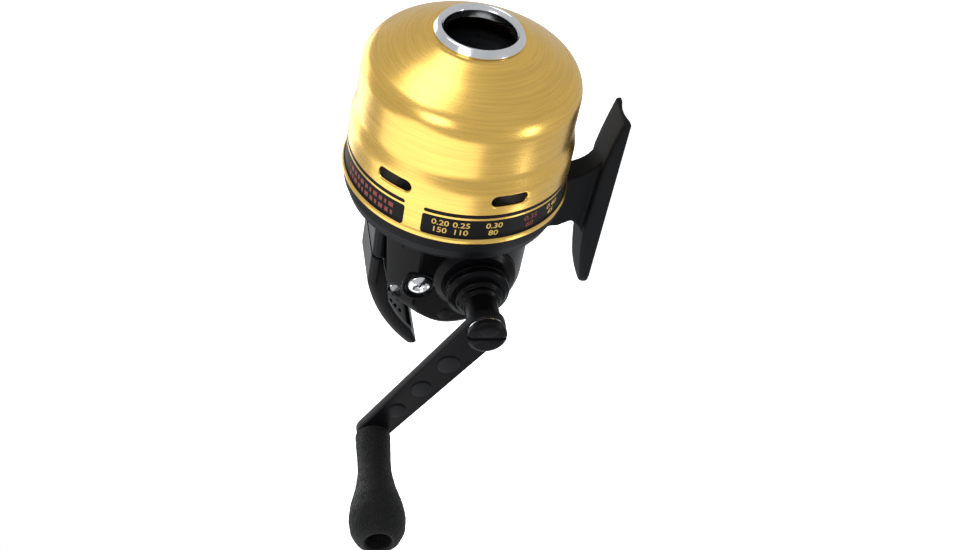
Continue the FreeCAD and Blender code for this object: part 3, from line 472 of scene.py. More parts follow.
def metal_maker(channel, rough, scratch):
    """A maker of plain metals: a colour, fine turning marks and brighter edges that are a painted edge highlight.
    """
    def make(name, colours):
        finish = Finish(name)
        x, y, z = finish.place()
        base = getattr(colours, channel)
        point = finish.vector(x, y, z)
        marks = finish.noise(finish.vector(x * 4, y * 0.7, z * 0.7), 2.2, 4.0, 0.6)
        patch = finish.noise(point, 0.35, 3.0)
        colour = finish.mix(patch, rgba(base, 0.86), rgba(base, 1.1))
        # painted edge highlight: sharp edges are mixed towards a brighter copy of the colour
        colour = finish.mix(finish.edges() * 0.5, colour, rgba(base, 1.4))
        return finish.surface(
            Base_Color=colour,
            Metallic=1.0,
            Roughness=marks * 0.12 + patch * 0.08 + (rough - 0.08),
            Normal=finish.bump(marks, scratch, 0.5),
        )
    return make


def moulding_maker(channel, rough, grain, depth, edge_light=1.9, edge_share=0.5):
    """A maker of moulded or painted black parts: fine grain, faint cloudiness and paler edges as a painted edge
    highlight.
    """
    def make(name, colours):
        finish = Finish(name)
        point = finish.vector(*finish.place())
        base = getattr(colours, channel)
        skin = finish.noise(point, grain, 3.0, 0.6)
        cloud = finish.noise(point, 0.22, 3.0)
        specks = finish.ramp(finish.noise(point, grain * 0.45, 2.0), 0.62, 0.72)
        colour = finish.mix(cloud, rgba(base, 0.8), rgba(base, 1.25))
        colour = finish.mix(specks * 0.25, colour, rgba(base, 1.8))
        # painted edge highlight: sharp edges are mixed towards a paler copy of the colour, set by edge_light and
        # edge_share
        colour = finish.mix(finish.edges() * edge_share, colour, rgba(base, edge_light))
        return finish.surface(
            Base_Color=colour,
            Roughness=cloud * 0.12 + skin * 0.08 + (rough - 0.1),
            Specular_IOR_Level=0.1,
            Normal=finish.bump(skin, depth, 0.6),
        )
    return make


def make_grip_rubber(name, colours):
    """Soft black grip with a leather grain."""
    finish = Finish(name)
    point = finish.vector(*finish.place())
    wobble = finish.noise(point, 0.8, 2.0)
    shift = finish.vector(wobble, wobble, 0.0)
    warped = finish.node("ShaderNodeVectorMath", {"operation": "ADD"}, {0: point, 1: shift})
    crease = finish.ramp(finish.cracks(warped, 1.45), 0.02, 0.22)
    fine = finish.noise(point, 6.0, 3.0)
    cloud = finish.noise(point, 0.2, 2.0)
    base = colours.rubber
    # painted shade: the grain's creases are painted darker than its cells; then a painted edge highlight on sharp
    # edges
    colour = finish.mix(crease, rgba(base, 0.55), rgba(base, 1.2))
    colour = finish.mix(finish.edges() * 0.35, colour, rgba(base, 1.9))
    return finish.surface(
        Base_Color=colour,
        Roughness=0.56 - crease * 0.14 + cloud * 0.1,
        Specular_IOR_Level=0.22,
        Normal=finish.bump(crease * 0.8 + fine * 0.2, 0.2, 0.9),
    )


def make_nylon(name, colours):
    """Clear-grey monofilament line."""
    finish = Finish(name)
    point = finish.vector(*finish.place())
    tint = finish.noise(point, 0.5, 3.0)
    return finish.surface(
        Base_Color=finish.mix(tint, rgba(colours.nylon, 0.85), rgba(colours.nylon, 1.1)),
        Roughness=tint * 0.1 + 0.22,
        Coat_Weight=0.4,
    )


FINISH_MAKERS = {
    "gold_cover": make_gold,
    "polished_steel": metal_maker("steel", 0.14, 0.004),
    "steel": metal_maker("steel", 0.3, 0.01),
    "brass": metal_maker("brass", 0.32, 0.01),
    "spool_aluminium": metal_maker("aluminium", 0.36, 0.012),
    # the last two numbers of a moulding set its painted edge highlight: how much paler, and how much of it
    "black_body": moulding_maker("black", 0.24, 5.0, 0.006, 4.0, 0.5),
    "black_satin": moulding_maker("satin", 0.42, 5.0, 0.012, 4.0, 0.6),
    "charcoal_foot": moulding_maker("charcoal", 0.6, 4.0, 0.03, 1.5, 0.4),
    "black_arm": moulding_maker("arm", 0.32, 5.0, 0.010, 5.0, 0.8),
    "grip_rubber": make_grip_rubber,
    "seal_rubber": moulding_maker("rubber", 0.7, 3.0, 0.02),
    "nylon_line": make_nylon,
    "fibre": moulding_maker("fibre", 0.8, 3.0, 0.03),
    "acetal": moulding_maker("acetal", 0.45, 3.0, 0.008, 1.2, 0.3),
    "mark_gold": moulding_maker("mark", 0.5, 4.0, 0.004, 1.1, 0.2),
    "mark_red": moulding_maker("mark_red", 0.5, 4.0, 0.004, 1.1, 0.2),
}


# ---------------------------------------------------------------- what a user can change

def length(name, text, value):
    return bpy.props.FloatProperty(name=name, description=text, default=value * MM,
                                   unit="LENGTH", precision=5)


def tone(name, text, value):
    return bpy.props.FloatVectorProperty(name=name, description=text, default=value, size=3,
                                         min=0.0, max=1.0, subtype="COLOR")


class ReelSizes(bpy.types.PropertyGroup):
    """Sizes of the details that the finished pieces add."""

    edge: length("Moulded edge", "Radius of the rounded edges on moulded plates", 0.45)
    slot_rim: length("Slot rim", "Width of the bright bevel round each drain slot", 0.32)
    figure_height: length("Figures", "Height of the figures on the capacity band", 1.75)
    grain_depth: length("Grip grain", "Depth of the grip's leather grain", 0.07)
    line_pitch: length("Line", "Diameter of the fishing line on the spool", 0.3)
    floor_half: length("Floor", "Half width of the floor", 3000.0)


class ReelColours(bpy.types.PropertyGroup):
    """Base colours of the finishes."""

    gold: tone("Gold", "Anodised cover", (0.88, 0.53, 0.10))
    # the pale gold serves the brushed lines and the painted edge highlight on the cover's edges
    gold_light: tone("Gold highlights", "Brushed lines and worn edges of the cover", (1.0, 0.73, 0.27))
    ink: tone("Ink", "Printed bars", (0.005, 0.005, 0.005))
    mark: tone("Figures", "Figures on the right panel", (0.75, 0.5, 0.14))
    mark_red: tone("Red marks", "Marks on the left panel", (0.26, 0.07, 0.06))
    steel: tone("Steel", "Polished and plain steel", (0.78, 0.79, 0.80))
    brass: tone("Brass", "Gears", (0.68, 0.47, 0.2))
    aluminium: tone("Aluminium", "Spool", (0.72, 0.73, 0.74))
    black: tone("Gloss black", "Gear housing and thumb button", (0.0022, 0.0022, 0.0026))
    satin: tone("Satin black", "Body ring", (0.0040, 0.0042, 0.0050))
    charcoal: tone("Charcoal", "Foot", (0.0070, 0.0074, 0.0082))
    arm: tone("Arm black", "Crank arm", (0.0028, 0.0028, 0.0033))
    rubber: tone("Rubber", "Grip and seal", (0.0045, 0.0047, 0.0052))
    nylon: tone("Nylon", "Fishing line", (0.55, 0.57, 0.52))
    fibre: tone("Fibre", "Friction washers", (0.2, 0.15, 0.1))
    acetal: tone("Acetal", "Light mouldings", (0.72, 0.71, 0.67))


# ---------------------------------------------------------------- the stage

class REEL_OT_stage(bpy.types.Operator):
    """Set up the floor, the soft lights and the camera"""
    bl_idname = "reel.stage"
    bl_label = "Stage"

    def execute(self, context):
        scene = context.scene
        scene.view_settings.view_transform = "Standard"
        self.make_world(scene)
        self.make_floor(scene)
        self.make_camera(scene)
        middle = Vector((0.0, 0.0, 0.040))
        # name, direction from the reel, distance, width, height, power
        for name, direction, distance, wide, high, power in (
            ("left_softbox", (-0.70, -0.50, 0.52), 0.60, 0.95, 0.80, 2.6),
            ("front_softbox", (0.52, -0.62, 0.58), 0.90, 0.34, 0.34, 1.5),
            ("nose_softbox", (0.92, 0.10, 0.38), 0.80, 0.42, 0.42, 1.5),
            ("right_strip", (0.16, -0.63, -0.76), 0.55, 0.08, 0.20, 0.35),
            ("low_strip", (-0.70, -0.30, -0.65), 0.60, 0.10, 0.22, 0.2),
            ("far_softbox", (-0.30, 0.80, 0.52), 1.00, 0.70, 0.70, 2.6),
        ):
            self.make_softbox(scene, name, middle, Vector(direction), distance, wide, high, power)
        return {"FINISHED"}

    @staticmethod
    def make_world(scene):
        world = bpy.data.worlds.new("studio")
        scene.world = world
        world.use_nodes = True
        tree = world.node_tree
        tree.nodes.clear()
        seen = tree.nodes.new("ShaderNodeBackground")
        seen.inputs["Color"].default_value = (1.0, 1.0, 1.0, 1.0)
        seen.inputs["Strength"].default_value = 1.0
        felt = tree.nodes.new("ShaderNodeBackground")
        felt.inputs["Color"].default_value = (0.95, 0.97, 1.0, 1.0)
        felt.inputs["Strength"].default_value = 0.60
        path = tree.nodes.new("ShaderNodeLightPath")
        mix = tree.nodes.new("ShaderNodeMixShader")
        out = tree.nodes.new("ShaderNodeOutputWorld")
        tree.links.new(path.outputs["Is Camera Ray"], mix.inputs[0])
        tree.links.new(felt.outputs[0], mix.inputs[1])
        tree.links.new(seen.outputs[0], mix.inputs[2])
        tree.links.new(mix.outputs[0], out.inputs["Surface"])

    @staticmethod
    def make_floor(scene):
        half = scene.reel_sizes.floor_half
        mesh = bpy.data.meshes.new("floor")
        low = CAD_BOX[0][2] - 0.0002
        mesh.from_pydata([(-half, -half, low), (half, -half, low), (half, half, low), (-half, half, low)],
                         [], [(0, 1, 2, 3)])
        floor = bpy.data.objects.new("floor", mesh)
        scene.collection.objects.link(floor)
        finish = Finish("floor_white")
        material = finish.surface(Base_Color=(0.8, 0.8, 0.8, 1.0), Roughness=0.9,
                                  Emission_Color=(1.0, 1.0, 1.0, 1.0), Emission_Strength=1.0)
        mesh.materials.append(material)
        floor.visible_glossy = False
        floor.visible_diffuse = False
        floor.visible_shadow = False

    @staticmethod
    def make_softbox(scene, name, middle, direction, distance, wide, high, power):
        light = bpy.data.lights.new(name, "AREA")
        light.shape = "RECTANGLE"
        light.size = wide
        light.size_y = high
        light.energy = power
        box = bpy.data.objects.new(name, light)
        direction.normalize()
        box.location = middle + direction * distance
        box.rotation_euler = direction.to_track_quat("Z", "X").to_euler()
        box.visible_camera = False
        scene.collection.objects.link(box)

    @staticmethod
    def make_camera(scene):
        camera = bpy.data.cameras.new("camera")
        camera.lens = 51.68
        camera.sensor_width = 36.0
        camera.clip_start = 0.01
        camera.clip_end = 20.0
        viewer = bpy.data.objects.new("camera", camera)
        back = Vector((0.6747, -0.7043, 0.2209)).normalized()
        up = Vector((0.7212, 0.6927, 0.0061))
        right = up.cross(back).normalized()
        up = back.cross(right)
        turn = Matrix((right, up, back)).transposed().to_4x4()
        viewer.matrix_world = Matrix.Translation((0.2465, -0.29145, 0.1195)) @ turn
        scene.collection.objects.link(viewer)
        scene.camera = viewer


# ---------------------------------------------------------------- front cover

# the turned wall of the cover, as (radius, forward of the rim, corner radius)
COVER_WALL = rounded([
    (30.3, 0.0), (30.98, 0.0, 0.3), (30.98, 1.15, 0.25), (30.2, 1.75, 0.3), (30.2, 15.9, 9.0),
    (29.0, 20.2, 9.0), (29.0, 34.7, 7.4), (19.6, 40.7, 40.0), (13.1, 43.98, 3.0), (10.62, 43.98),
], 10)
SLOT_TURNS = [44 - 60 * n for n in range(6)]
SLOT_LENGTH, SLOT_HEIGHT, SLOT_FORWARD = 10.4, 3.4, 13.5
COVER_SKIN = 0.9
PATCH_LOW, PATCH_HIGH, PATCH_ROWS = 9.7, 17.3, 6
STEPS_PER_SLOT, PATCH_STEPS = 48, 20
# the wall's steps round the reel, and the turn of the first one, at the edge of a slot's patch
WALL_STEPS = STEPS_PER_SLOT * 6
WALL_START = SLOT_TURNS[0] + 60 / STEPS_PER_SLOT * (PATCH_STEPS / 2)
BAND_RADIUS = 30.2
# figures stand a little proud of the band; widths become turns at the second radius
PRINT_RADIUS, PRINT_SPREAD = 30.235, 30.23
FIGURE_ROWS = (5.65, 3.25)


def wall_radius(forward):
    """Outer radius of the cover's side wall."""
    for (r0, s0), (r1, s1) in zip(COVER_WALL, COVER_WALL[1:]):
        if s0 <= forward <= s1 and s1 > s0:
            return r0 + (r1 - r0) * (forward - s0) / (s1 - s0)
    return COVER_WALL[-1][0]


def pill(share, grow):
    """A point on the slot's outline by its share of the way round, from the end on the +u side."""
    radius = SLOT_HEIGHT / 2
    half = SLOT_LENGTH / 2 - radius
    quarter = math.pi * radius / 2
    length_round = 4 * quarter + 4 * half
    way = share * length_round
    sections = ((quarter, 0), (2 * half, 1), (2 * quarter, 2), (2 * half, 3), (quarter, 4))
    for span, kind in sections:
        if way <= span + 1e-9:
            break
        way -= span
    radius_out = radius + grow
    if kind == 0:
        u, v = polar(radius_out, math.degrees(way / radius))
        return half + u, v
    if kind == 1:
        return half - way, radius_out
    if kind == 2:
        u, v = polar(radius_out, 90 + math.degrees(way / radius))
        return -half + u, v
    if kind == 3:
        return -half + way, -radius_out
    u, v = polar(radius_out, -90 + math.degrees(way / radius))
    return half + u, v


def slot_patch(middle_turn, rim):
    """Points and faces of the wall round one slot, outside, inside and through the rim."""
    step_turn = 60 / STEPS_PER_SLOT
    half_turn = step_turn * PATCH_STEPS / 2
    rise = (PATCH_HIGH - PATCH_LOW) / PATCH_ROWS
    border = []
    side, top = PATCH_ROWS // 2, PATCH_STEPS // 2
    border += [(half_turn, SLOT_FORWARD + rise * n) for n in range(side)]
    border += [(half_turn - step_turn * n, PATCH_HIGH) for n in range(2 * top)]
    border += [(-half_turn, PATCH_HIGH - rise * n) for n in range(2 * side)]
    border += [(-half_turn + step_turn * n, PATCH_LOW) for n in range(2 * top)]
    border += [(half_turn, PATCH_LOW + rise * n) for n in range(side)]
    count = len(border)
    to_turn = math.degrees(1 / BAND_RADIUS)
    # (how far from the slot's outline towards the border, growth of the outline, depth below the wall)
    rings = [
        (1.0, 0.5, COVER_SKIN), (0.5, 0.3, COVER_SKIN), (0.0, 0.06, COVER_SKIN),
        (0.0, 0.0, COVER_SKIN - 0.06),
        (0.0, 0.0, rim + 0.02), (0.0, 0.04, rim - 0.05), (0.0, rim - 0.05, 0.05), (0.0, rim + 0.04, 0.0),
        (0.0, rim + 0.16, 0.0), (0.25, rim + 0.16, 0.0), (0.55, rim + 0.16, 0.0), (1.0, rim + 0.16, 0.0),
    ]
    verts = []
    for share_out, grow, depth in rings:
        for n, (turn, forward) in enumerate(border):
            u, v = pill(n / count, grow)
            spot_turn = u * to_turn * (1 - share_out) + turn * share_out
            spot_forward = (SLOT_FORWARD + v) * (1 - share_out) + forward * share_out
            radius = wall_radius(spot_forward) - depth
            verts.append(on_wall(radius, spot_forward, middle_turn + spot_turn))
    faces = []
    for ring in range(len(rings) - 1):
        for n in range(count):
            after = (n + 1) % count
            faces.append((ring * count + n, ring * count + after,
                          (ring + 1) * count + after, (ring + 1) * count + n))
    return verts, faces


class REEL_OT_front_cover(bpy.types.Operator):
    """Spin the gold front cover with its six drain slots and its printed capacity band"""
    bl_idname = "reel.front_cover"
    bl_label = "Front cover"

    def execute(self, context):
        sizes = context.scene.reel_sizes
        finish = finishes()
        rise = (PATCH_HIGH - PATCH_LOW) / PATCH_ROWS
        band = [PATCH_LOW + rise * n for n in range(PATCH_ROWS + 1)]
        below = [(r, s) for r, s in COVER_WALL if s < PATCH_LOW - 0.2]
        above = [(r, s) for r, s in COVER_WALL if s > PATCH_HIGH + 0.2]
        below += [(BAND_RADIUS, s) for s in (3.5, 5.5, 7.6)]
        cone = [(29.0, s) for s in (22.5, 25.0, 27.5)]
        outer = below + [(wall_radius(s), s) for s in band] + self.thin(above, cone)
        skin = COVER_SKIN
        inner_band = [(wall_radius(s) - skin, s) for s in band]
        inner = [(30.1, 0.0), (29.3, 2.2), (29.3, 6.0)] + inner_band
        nose = [(28.1, 28.0), (28.1, 34.0, 4.5), (19.3, 39.55), (12.9, 43.08, 1.0), (10.62, 43.08)]
        inner += [(28.1, 20.4), (28.1, 26.0)] + rounded(nose, 5)
        outside = self.wall(outer, band)
        inside = self.wall(inner, band)
        patches = [slot_patch(turn, sizes.slot_rim / MM) for turn in SLOT_TURNS]
        closing_verts = []
        closing_faces = []
        for pair in ((outer[0], inner[0]), (outer[-1], inner[-1])):
            base = len(closing_verts)
            for radius, forward in pair:
                for n in range(WALL_STEPS):
                    closing_verts.append(on_wall(radius, forward, WALL_START - 360 * n / WALL_STEPS))
            for n in range(WALL_STEPS):
                after = (n + 1) % WALL_STEPS
                closing_faces.append((base + n, base + after,
                                      base + WALL_STEPS + after, base + WALL_STEPS + n))
        verts, faces = joined(outside, inside, (closing_verts, closing_faces), *patches)
        cover = new_piece("cover_shell", verts, faces, "frame", "gold_cover", finish["gold_cover"], 50)
        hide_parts("front_cover")
        self.make_figures(sizes, finish)
        return {"FINISHED"}

    @staticmethod
    def thin(points, extra):
        """The wall above the slots with a few more rows on its long straight stretch."""
        low = [point for point in points if point[1] < extra[0][1]]
        high = [point for point in points if point[1] > extra[-1][1]]
        return low + extra + high

    @staticmethod
    def wall(rows, band):
        """The turned wall with the slots' patches left open."""
        verts = []
        for radius, forward in rows:
            for n in range(WALL_STEPS):
                verts.append(on_wall(radius, forward, WALL_START - 360 * n / WALL_STEPS))
        faces = []
        for row in range(len(rows) - 1):
            in_band = rows[row][1] >= band[0] - 1e-6 and rows[row + 1][1] <= band[-1] + 1e-6
            for n in range(WALL_STEPS):
                if in_band and n % STEPS_PER_SLOT < PATCH_STEPS:
                    continue
                after = (n + 1) % WALL_STEPS
                faces.append((row * WALL_STEPS + n, row * WALL_STEPS + after,
                              (row + 1) * WALL_STEPS + after, (row + 1) * WALL_STEPS + n))
        return verts, faces

    def make_figures(self, sizes, finish):
        """Generic capacity figures on the right panel and plain marks on the left one."""
        height = sizes.figure_height / MM
        for column, (turn, words) in enumerate((
            (17.0, ("0.20", "150")), (6.5, ("0.25", "110")), (-10.0, ("0.30", "80")), (-31.0, ("0.35", "60")),
            (-47.0, ("0.40", "45")),
        )):
            ink = "mark_red" if column == 3 else "mark_gold"
            for row, (forward, word) in enumerate(zip(FIGURE_ROWS, words)):
                self.make_word(f"figure_{column}_{row}", word, turn, forward, height, finish[ink])
        verts = []
        faces = []
        for row, forward in enumerate(FIGURE_ROWS):
            turn = 42.0
            for n in range(11):
                wide = (1.5, 0.7, 1.1)[(n + row) % 3]
                reach = wide / PRINT_SPREAD
                tilt = math.degrees(reach)
                corners = []
                for part in range(4):
                    spot = turn + tilt * part / 3
                    corners += [on_wall(PRINT_RADIUS, forward - height * 0.4, spot),
                                on_wall(PRINT_RADIUS, forward + height * 0.4, spot)]
                base = len(verts)
                verts += corners
                for low in range(base, base + 6, 2):
                    faces.append((low, low + 1, low + 3, low + 2))
                turn += tilt + math.degrees(0.75 / PRINT_SPREAD)
        new_piece("panel_marks", verts, faces, "frame", "gold_cover", finish["mark_red"])

    @staticmethod
    def make_word(name, word, turn, forward, height, material):
        curve = bpy.data.curves.new(name, "FONT")
        curve.body = word
        curve.size = height * 1.38
        curve.align_x = "CENTER"
        curve.align_y = "CENTER"
        curve.offset = 0.03
        curve.resolution_u = 4
        flat = bpy.data.objects.new(name, curve)
        bpy.context.scene.collection.objects.link(flat)
        mesh = bpy.data.meshes.new_from_object(flat.evaluated_get(bpy.context.evaluated_depsgraph_get()))
        verts = []
        for vert in mesh.vertices:
            spot = turn - math.degrees(vert.co.x * 1.12 / PRINT_SPREAD)
            verts.append(on_wall(PRINT_RADIUS, forward + vert.co.y, spot))
        faces = [tuple(face.vertices) for face in mesh.polygons]
        bpy.data.objects.remove(flat)
        new_piece(name, verts, faces, "frame", "gold_cover", material)


class REEL_OT_line_guide(bpy.types.Operator):
    """Turn the polished ring that the line leaves through"""
    bl_idname = "reel.line_guide"
    bl_label = "Line guide ring"

    def execute(self, context):
        profile = rounded([
            (9.27, 42.7), (9.27, 44.9, 0.9), (10.3, 46.1, 0.6), (11.0, 45.75, 0.9), (11.87, 44.45, 0.3),
            (11.87, 44.02, 0.1), (10.58, 44.02, 0.05), (10.58, 42.7),
        ])
        steel = finishes()["polished_steel"]
        ring = turned("guide_ring", profile, ON_SPOOL, "frame", "polished_steel", steel, 160, 60)
        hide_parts("line_guide_ring")
        return {"FINISHED"}


# ---------------------------------------------------------------- body

class REEL_OT_body(bpy.types.Operator):
    """Make the body ring, the gear housing, its covers and the foot"""
    bl_idname = "reel.body"
    bl_label = "Body and foot"

    def execute(self, context):
        finish = finishes()
        ring = turned("body_collar", rounded([
            (21.7, -7.6), (28.0, -7.65, 0.3), (28.75, -7.0, 0.25), (28.82, -6.3, 0.15), (29.1, -6.15, 0.15),
            (29.85, -3.75, 0.25), (30.18, -3.45, 0.15), (30.18, -0.45, 0.2), (29.9, -0.05, 0.1),
            (28.3, -0.05), (28.3, 1.2), (29.1, 1.7), (29.1, 4.9), (27.6, 4.9), (27.2, 0.5), (26.45, 0.4),
            (26.45, -7.1), (21.7, -7.1),
        ], 4), ON_SPOOL, "frame", "black_satin", finish["black_satin"], 192, 35)
        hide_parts("body_ring")
        gloss = finish["black_body"]
        moulded("gear_case", "gear_housing", "frame", gloss, 0.4, 6)
        moulded("roof_cover", "top_cover", "frame", gloss, 0.25, 5)
        moulded("foot_plate", "reel_foot", "frame", finish["charcoal_foot"], 0.33, 4)
        self.make_screw_bosses(finish)
        return {"FINISHED"}

    @staticmethod
    def make_screw_bosses(finish):
        """Raised rims round the two side screws and the blind plug behind the crank."""
        for name, direction in (("screw_rim_right", OUTWARD), ("screw_rim_left", -OUTWARD)):
            place = along((RIM.x + SIDE_SCREW[0], 0, RIM.z + SIDE_SCREW[1]), direction, (1, 0, 0))
            profile = rounded([(3.95, 20.6), (3.95, 21.5, 0.25), (4.75, 21.5, 0.3), (4.95, 21.0, 0.2),
                               (5.0, 20.6)], 4)
            turned(name, profile, place, "frame", "black_body", finish["black_body"], 64)
        place = along((RIM.x + SIDE_PLUG[0], 0, RIM.z + SIDE_PLUG[1]), OUTWARD, (1, 0, 0))
        profile = rounded([(0.01, 18.5), (0.01, 21.55), (1.7, 21.55, 0.2), (1.75, 21.3, 0.1),
                           (2.2, 21.3, 0.1), (2.3, 18.5)], 3)
        turned("side_plug", profile, place, "frame", "black_body", finish["black_body"], 48)


class REEL_OT_thumb_button(bpy.types.Operator):
    """Mould the thumb button with its grip ribs and the dots inside its tongue"""
    bl_idname = "reel.thumb_button"
    bl_label = "Thumb button"

    # the tongue's tip and the roof as (forward, rise), for the faces outside and inside
    OUTER_ARC = ((-59.2, 7.6), (-35.0, 21.5))
    INNER_ARC = ((-54.6, 7.6), (-35.0, 19.3))
    ARC_RADIUS = 50

    def execute(self, context):
        finish = finishes()
        gloss = finish["black_body"]
        moulded("thumb_lever", "thumb_button", "thumb", gloss, 0.28, 5)
        parts = []
        # grip ribs across the outer face: each lies on the arc between the tongue's tip and the roof
        for n in range(7):
            share = 0.22 + 0.085 * n
            forward, rise = self.on_back(share, *self.OUTER_ARC)
            ahead = self.on_back(share + 0.01, *self.OUTER_ARC)
            slope = Vector((ahead[0] - forward, 0, ahead[1] - rise)).normalized()
            outward = Vector((-slope.z, 0, slope.x))
            origin = Vector((RIM.x + forward, 0, RIM.z + rise)) - outward * 0.35
            place = along(origin, outward, (0, 1, 0))
            outline = [self.stadium(angle, 5.6, 0.42) for angle in range(0, 360, 15)]
            parts.append(slab_mesh(outline, 0.0, 0.62, 0.25, place, 3))
        verts, faces = joined(*parts)
        new_piece("thumb_ribs", verts, faces, "thumb", "black_body", gloss)
        dots = []
        for column in (-1, 1):
            for n in range(6):
                share = 0.12 + 0.11 * n
                forward, rise = self.on_back(share, *self.INNER_ARC)
                ahead = self.on_back(share + 0.01, *self.INNER_ARC)
                inward = Vector((ahead[1] - rise, 0, forward - ahead[0]))
                place = along((RIM.x + forward, column * 2.4, RIM.z + rise), inward, (0, 1, 0))
                profile = rounded([(0.01, -0.6), (0.01, 0.42), (0.5, 0.42, 0.3), (0.72, 0.0),
                                   (0.75, -0.6)], 3)
                dots.append(turned_mesh(profile, place, 14))
        verts, faces = joined(*dots)
        new_piece("tongue_dots", verts, faces, "thumb", "black_body", gloss)
        return {"FINISHED"}

    @classmethod
    def on_back(cls, share, tip, roof):
        """A point on one of the button's arcs: (forward, rise), from the tongue's tip to the roof."""
        tip, roof = Vector(tip), Vector(roof)
        chord = roof - tip
        drop = math.sqrt(cls.ARC_RADIUS ** 2 - (chord.length / 2) ** 2)
        middle = (tip + roof) / 2 + Vector((chord.y, -chord.x)).normalized() * drop
        return arc(tip, roof, middle, 100)[round(share * 100)]

    @staticmethod
    def stadium(angle, half, radius):
        """A point on a long rounded outline."""
        u, v = polar(radius, angle)
        return (u + (half if u > 1e-6 or (abs(u) <= 1e-6 and v < 0) else -half), v)


# ---------------------------------------------------------------- screws

def driven_cross(piece, place, face, reach, width, depth):
    """Cuts a Phillips recess into a screw head."""
    for turn in (0, 90):
        corners = []
        for height, shrink in ((face - depth, 0.45), (face + 0.6, 1.0)):
            for u, v in ((-1, -1), (1, -1), (1, 1), (-1, 1)):
                spot = Vector((u * reach * shrink, v * width * (0.55 + 0.45 * shrink), height))
                spot.rotate(Matrix.Rotation(math.radians(turn), 3, "Z"))
                corners.append(place @ spot)
        cut(piece, corners, BLOCK_FACES, 0.06 if turn else 0.0)


class REEL_OT_screws(bpy.types.Operator):
    """Make the two side screws with their cross recesses"""
    bl_idname = "reel.screws"
    bl_label = "Side screws"

    def execute(self, context):
        finish = finishes()["polished_steel"]
        for name, direction in (("side_screw_right", OUTWARD), ("side_screw_left", -OUTWARD)):
            place = along((RIM.x + SIDE_SCREW[0], 0, RIM.z + SIDE_SCREW[1]), direction, (1, 0, 0))
            head = rounded([(0.01, 15.2), (1.48, 15.2), (1.48, 20.46), (3.18, 20.46, 0.1), (3.18, 21.0, 0.4),
                            (2.0, 21.75, 2.5), (0.01, 22.0)], 6)
            screw = turned(name, head, place, "frame", "polished_steel", finish, 64)
            twist = place @ Matrix.Rotation(math.radians(24), 4, "Z")
            driven_cross(screw, twist, 21.9, 2.0, 0.46, 1.1)
        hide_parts("side_screws")
        return {"FINISHED"}


# ---------------------------------------------------------------- crank

class REEL_OT_crank(bpy.types.Operator):
    """Make the drag dial, the collar, the crank arm and its screw"""
    bl_idname = "reel.crank"
    bl_label = "Crank"

    def execute(self, context):
        finish = finishes()
        black = finish["black_arm"]
        gloss = finish["black_body"]
        boss = turned("crank_boss", rounded([
            (6.02, 17.6), (8.48, 17.6), (8.48, 21.2), (11.58, 21.22, 0.1), (11.3, 22.4, 1.5),
            (9.4, 23.78, 0.5), (6.02, 23.78),
        ]), ON_CRANK, "frame", "black_body", gloss, 128)
        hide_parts("crank_bearing_plate")
        dial = turned("drag_knob", rounded([
            (4.2, 24.12), (7.3, 24.12), (7.3, 25.2), (8.58, 25.2, 0.25), (8.58, 26.35, 0.2),
            (7.95, 26.5, 0.1), (7.95, 26.95, 0.1), (8.58, 27.1, 0.2), (8.58, 28.3, 0.7), (7.3, 28.98, 0.5),
            (4.2, 28.98),
        ]), ON_CRANK, "dial", "black_arm", gloss, 128)
        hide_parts("drag_dial")
        collar = turned("arm_collar", rounded([
            (2.64, 29.16), (6.38, 29.16, 0.1), (6.38, 30.4, 0.45), (5.4, 30.95, 0.2), (5.4, 32.1, 0.3),
            (4.6, 32.6, 0.3), (4.6, 39.28, 0.1), (2.64, 39.28),
        ]), ON_CRANK, "crank", "black_arm", gloss, 96)
        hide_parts("crank_collar")
        self.make_arm(context.scene.reel_sizes, black)
        self.make_screw(black)
        return {"FINISHED"}

    @staticmethod
    def make_arm(sizes, black):
        """The flat arm narrows towards the grip and carries three raised discs."""
        reach = math.hypot(GRIP.x - CRANK.x, GRIP.z - CRANK.z)
        way = math.degrees(math.atan2(GRIP.z - CRANK.z, GRIP.x - CRANK.x))
        place = ON_CRANK @ Matrix.Rotation(math.radians(way), 4, "Z")
        root, tip = 5.48, 4.38
        lean = math.degrees(math.asin((root - tip) / reach))
        outline = [polar(root, 90 - lean + (180 + 2 * lean) * n / 24) for n in range(25)]
        for n in range(25):
            u, v = polar(tip, -90 - lean + (180 + 2 * lean) * n / 24)
            outline.append((reach + u, v))
        verts, faces = slab_mesh(outline, 39.32, 42.28, sizes.edge / MM, place, 5)
        parts = [(verts, faces)]
        for distance, radius in ((15.1, 3.1), (26.5, 2.8), (37.0, 2.5)):
            spot = place @ Matrix.Translation((distance, -0.3, 0))
            profile = rounded([(0.01, 42.0), (0.01, 42.68), (radius, 42.68, 0.22), (radius + 0.05, 42.0)], 4)
            parts.append(turned_mesh(profile, spot, 48))
        arm = new_piece("crank_arm", *joined(*parts), "crank", "black_arm", black, 35)
        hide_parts("handle_arm")

    @staticmethod
    def make_screw(black):
        """The large slotted screw that holds the arm."""
        profile = rounded([(0.01, 41.7), (1.88, 41.7), (1.88, 42.73), (5.38, 42.73, 0.15), (5.38, 44.4, 0.55),
                           (4.4, 45.1, 1.2), (0.01, 45.12)], 6)
        screw = turned("arm_screw", profile, ON_CRANK, "crank", "black_arm", black, 96)
        low, high, half, long = 43.9, 46.0, 0.55, 6.0
        corners = [ON_CRANK @ Vector((u, v, t)) for t in (low, high)
                   for u, v in ((-half, -long), (half, -long), (half, long), (-half, long))]
        cut(screw, corners, BLOCK_FACES, 0.1)
        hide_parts("handle_screw")


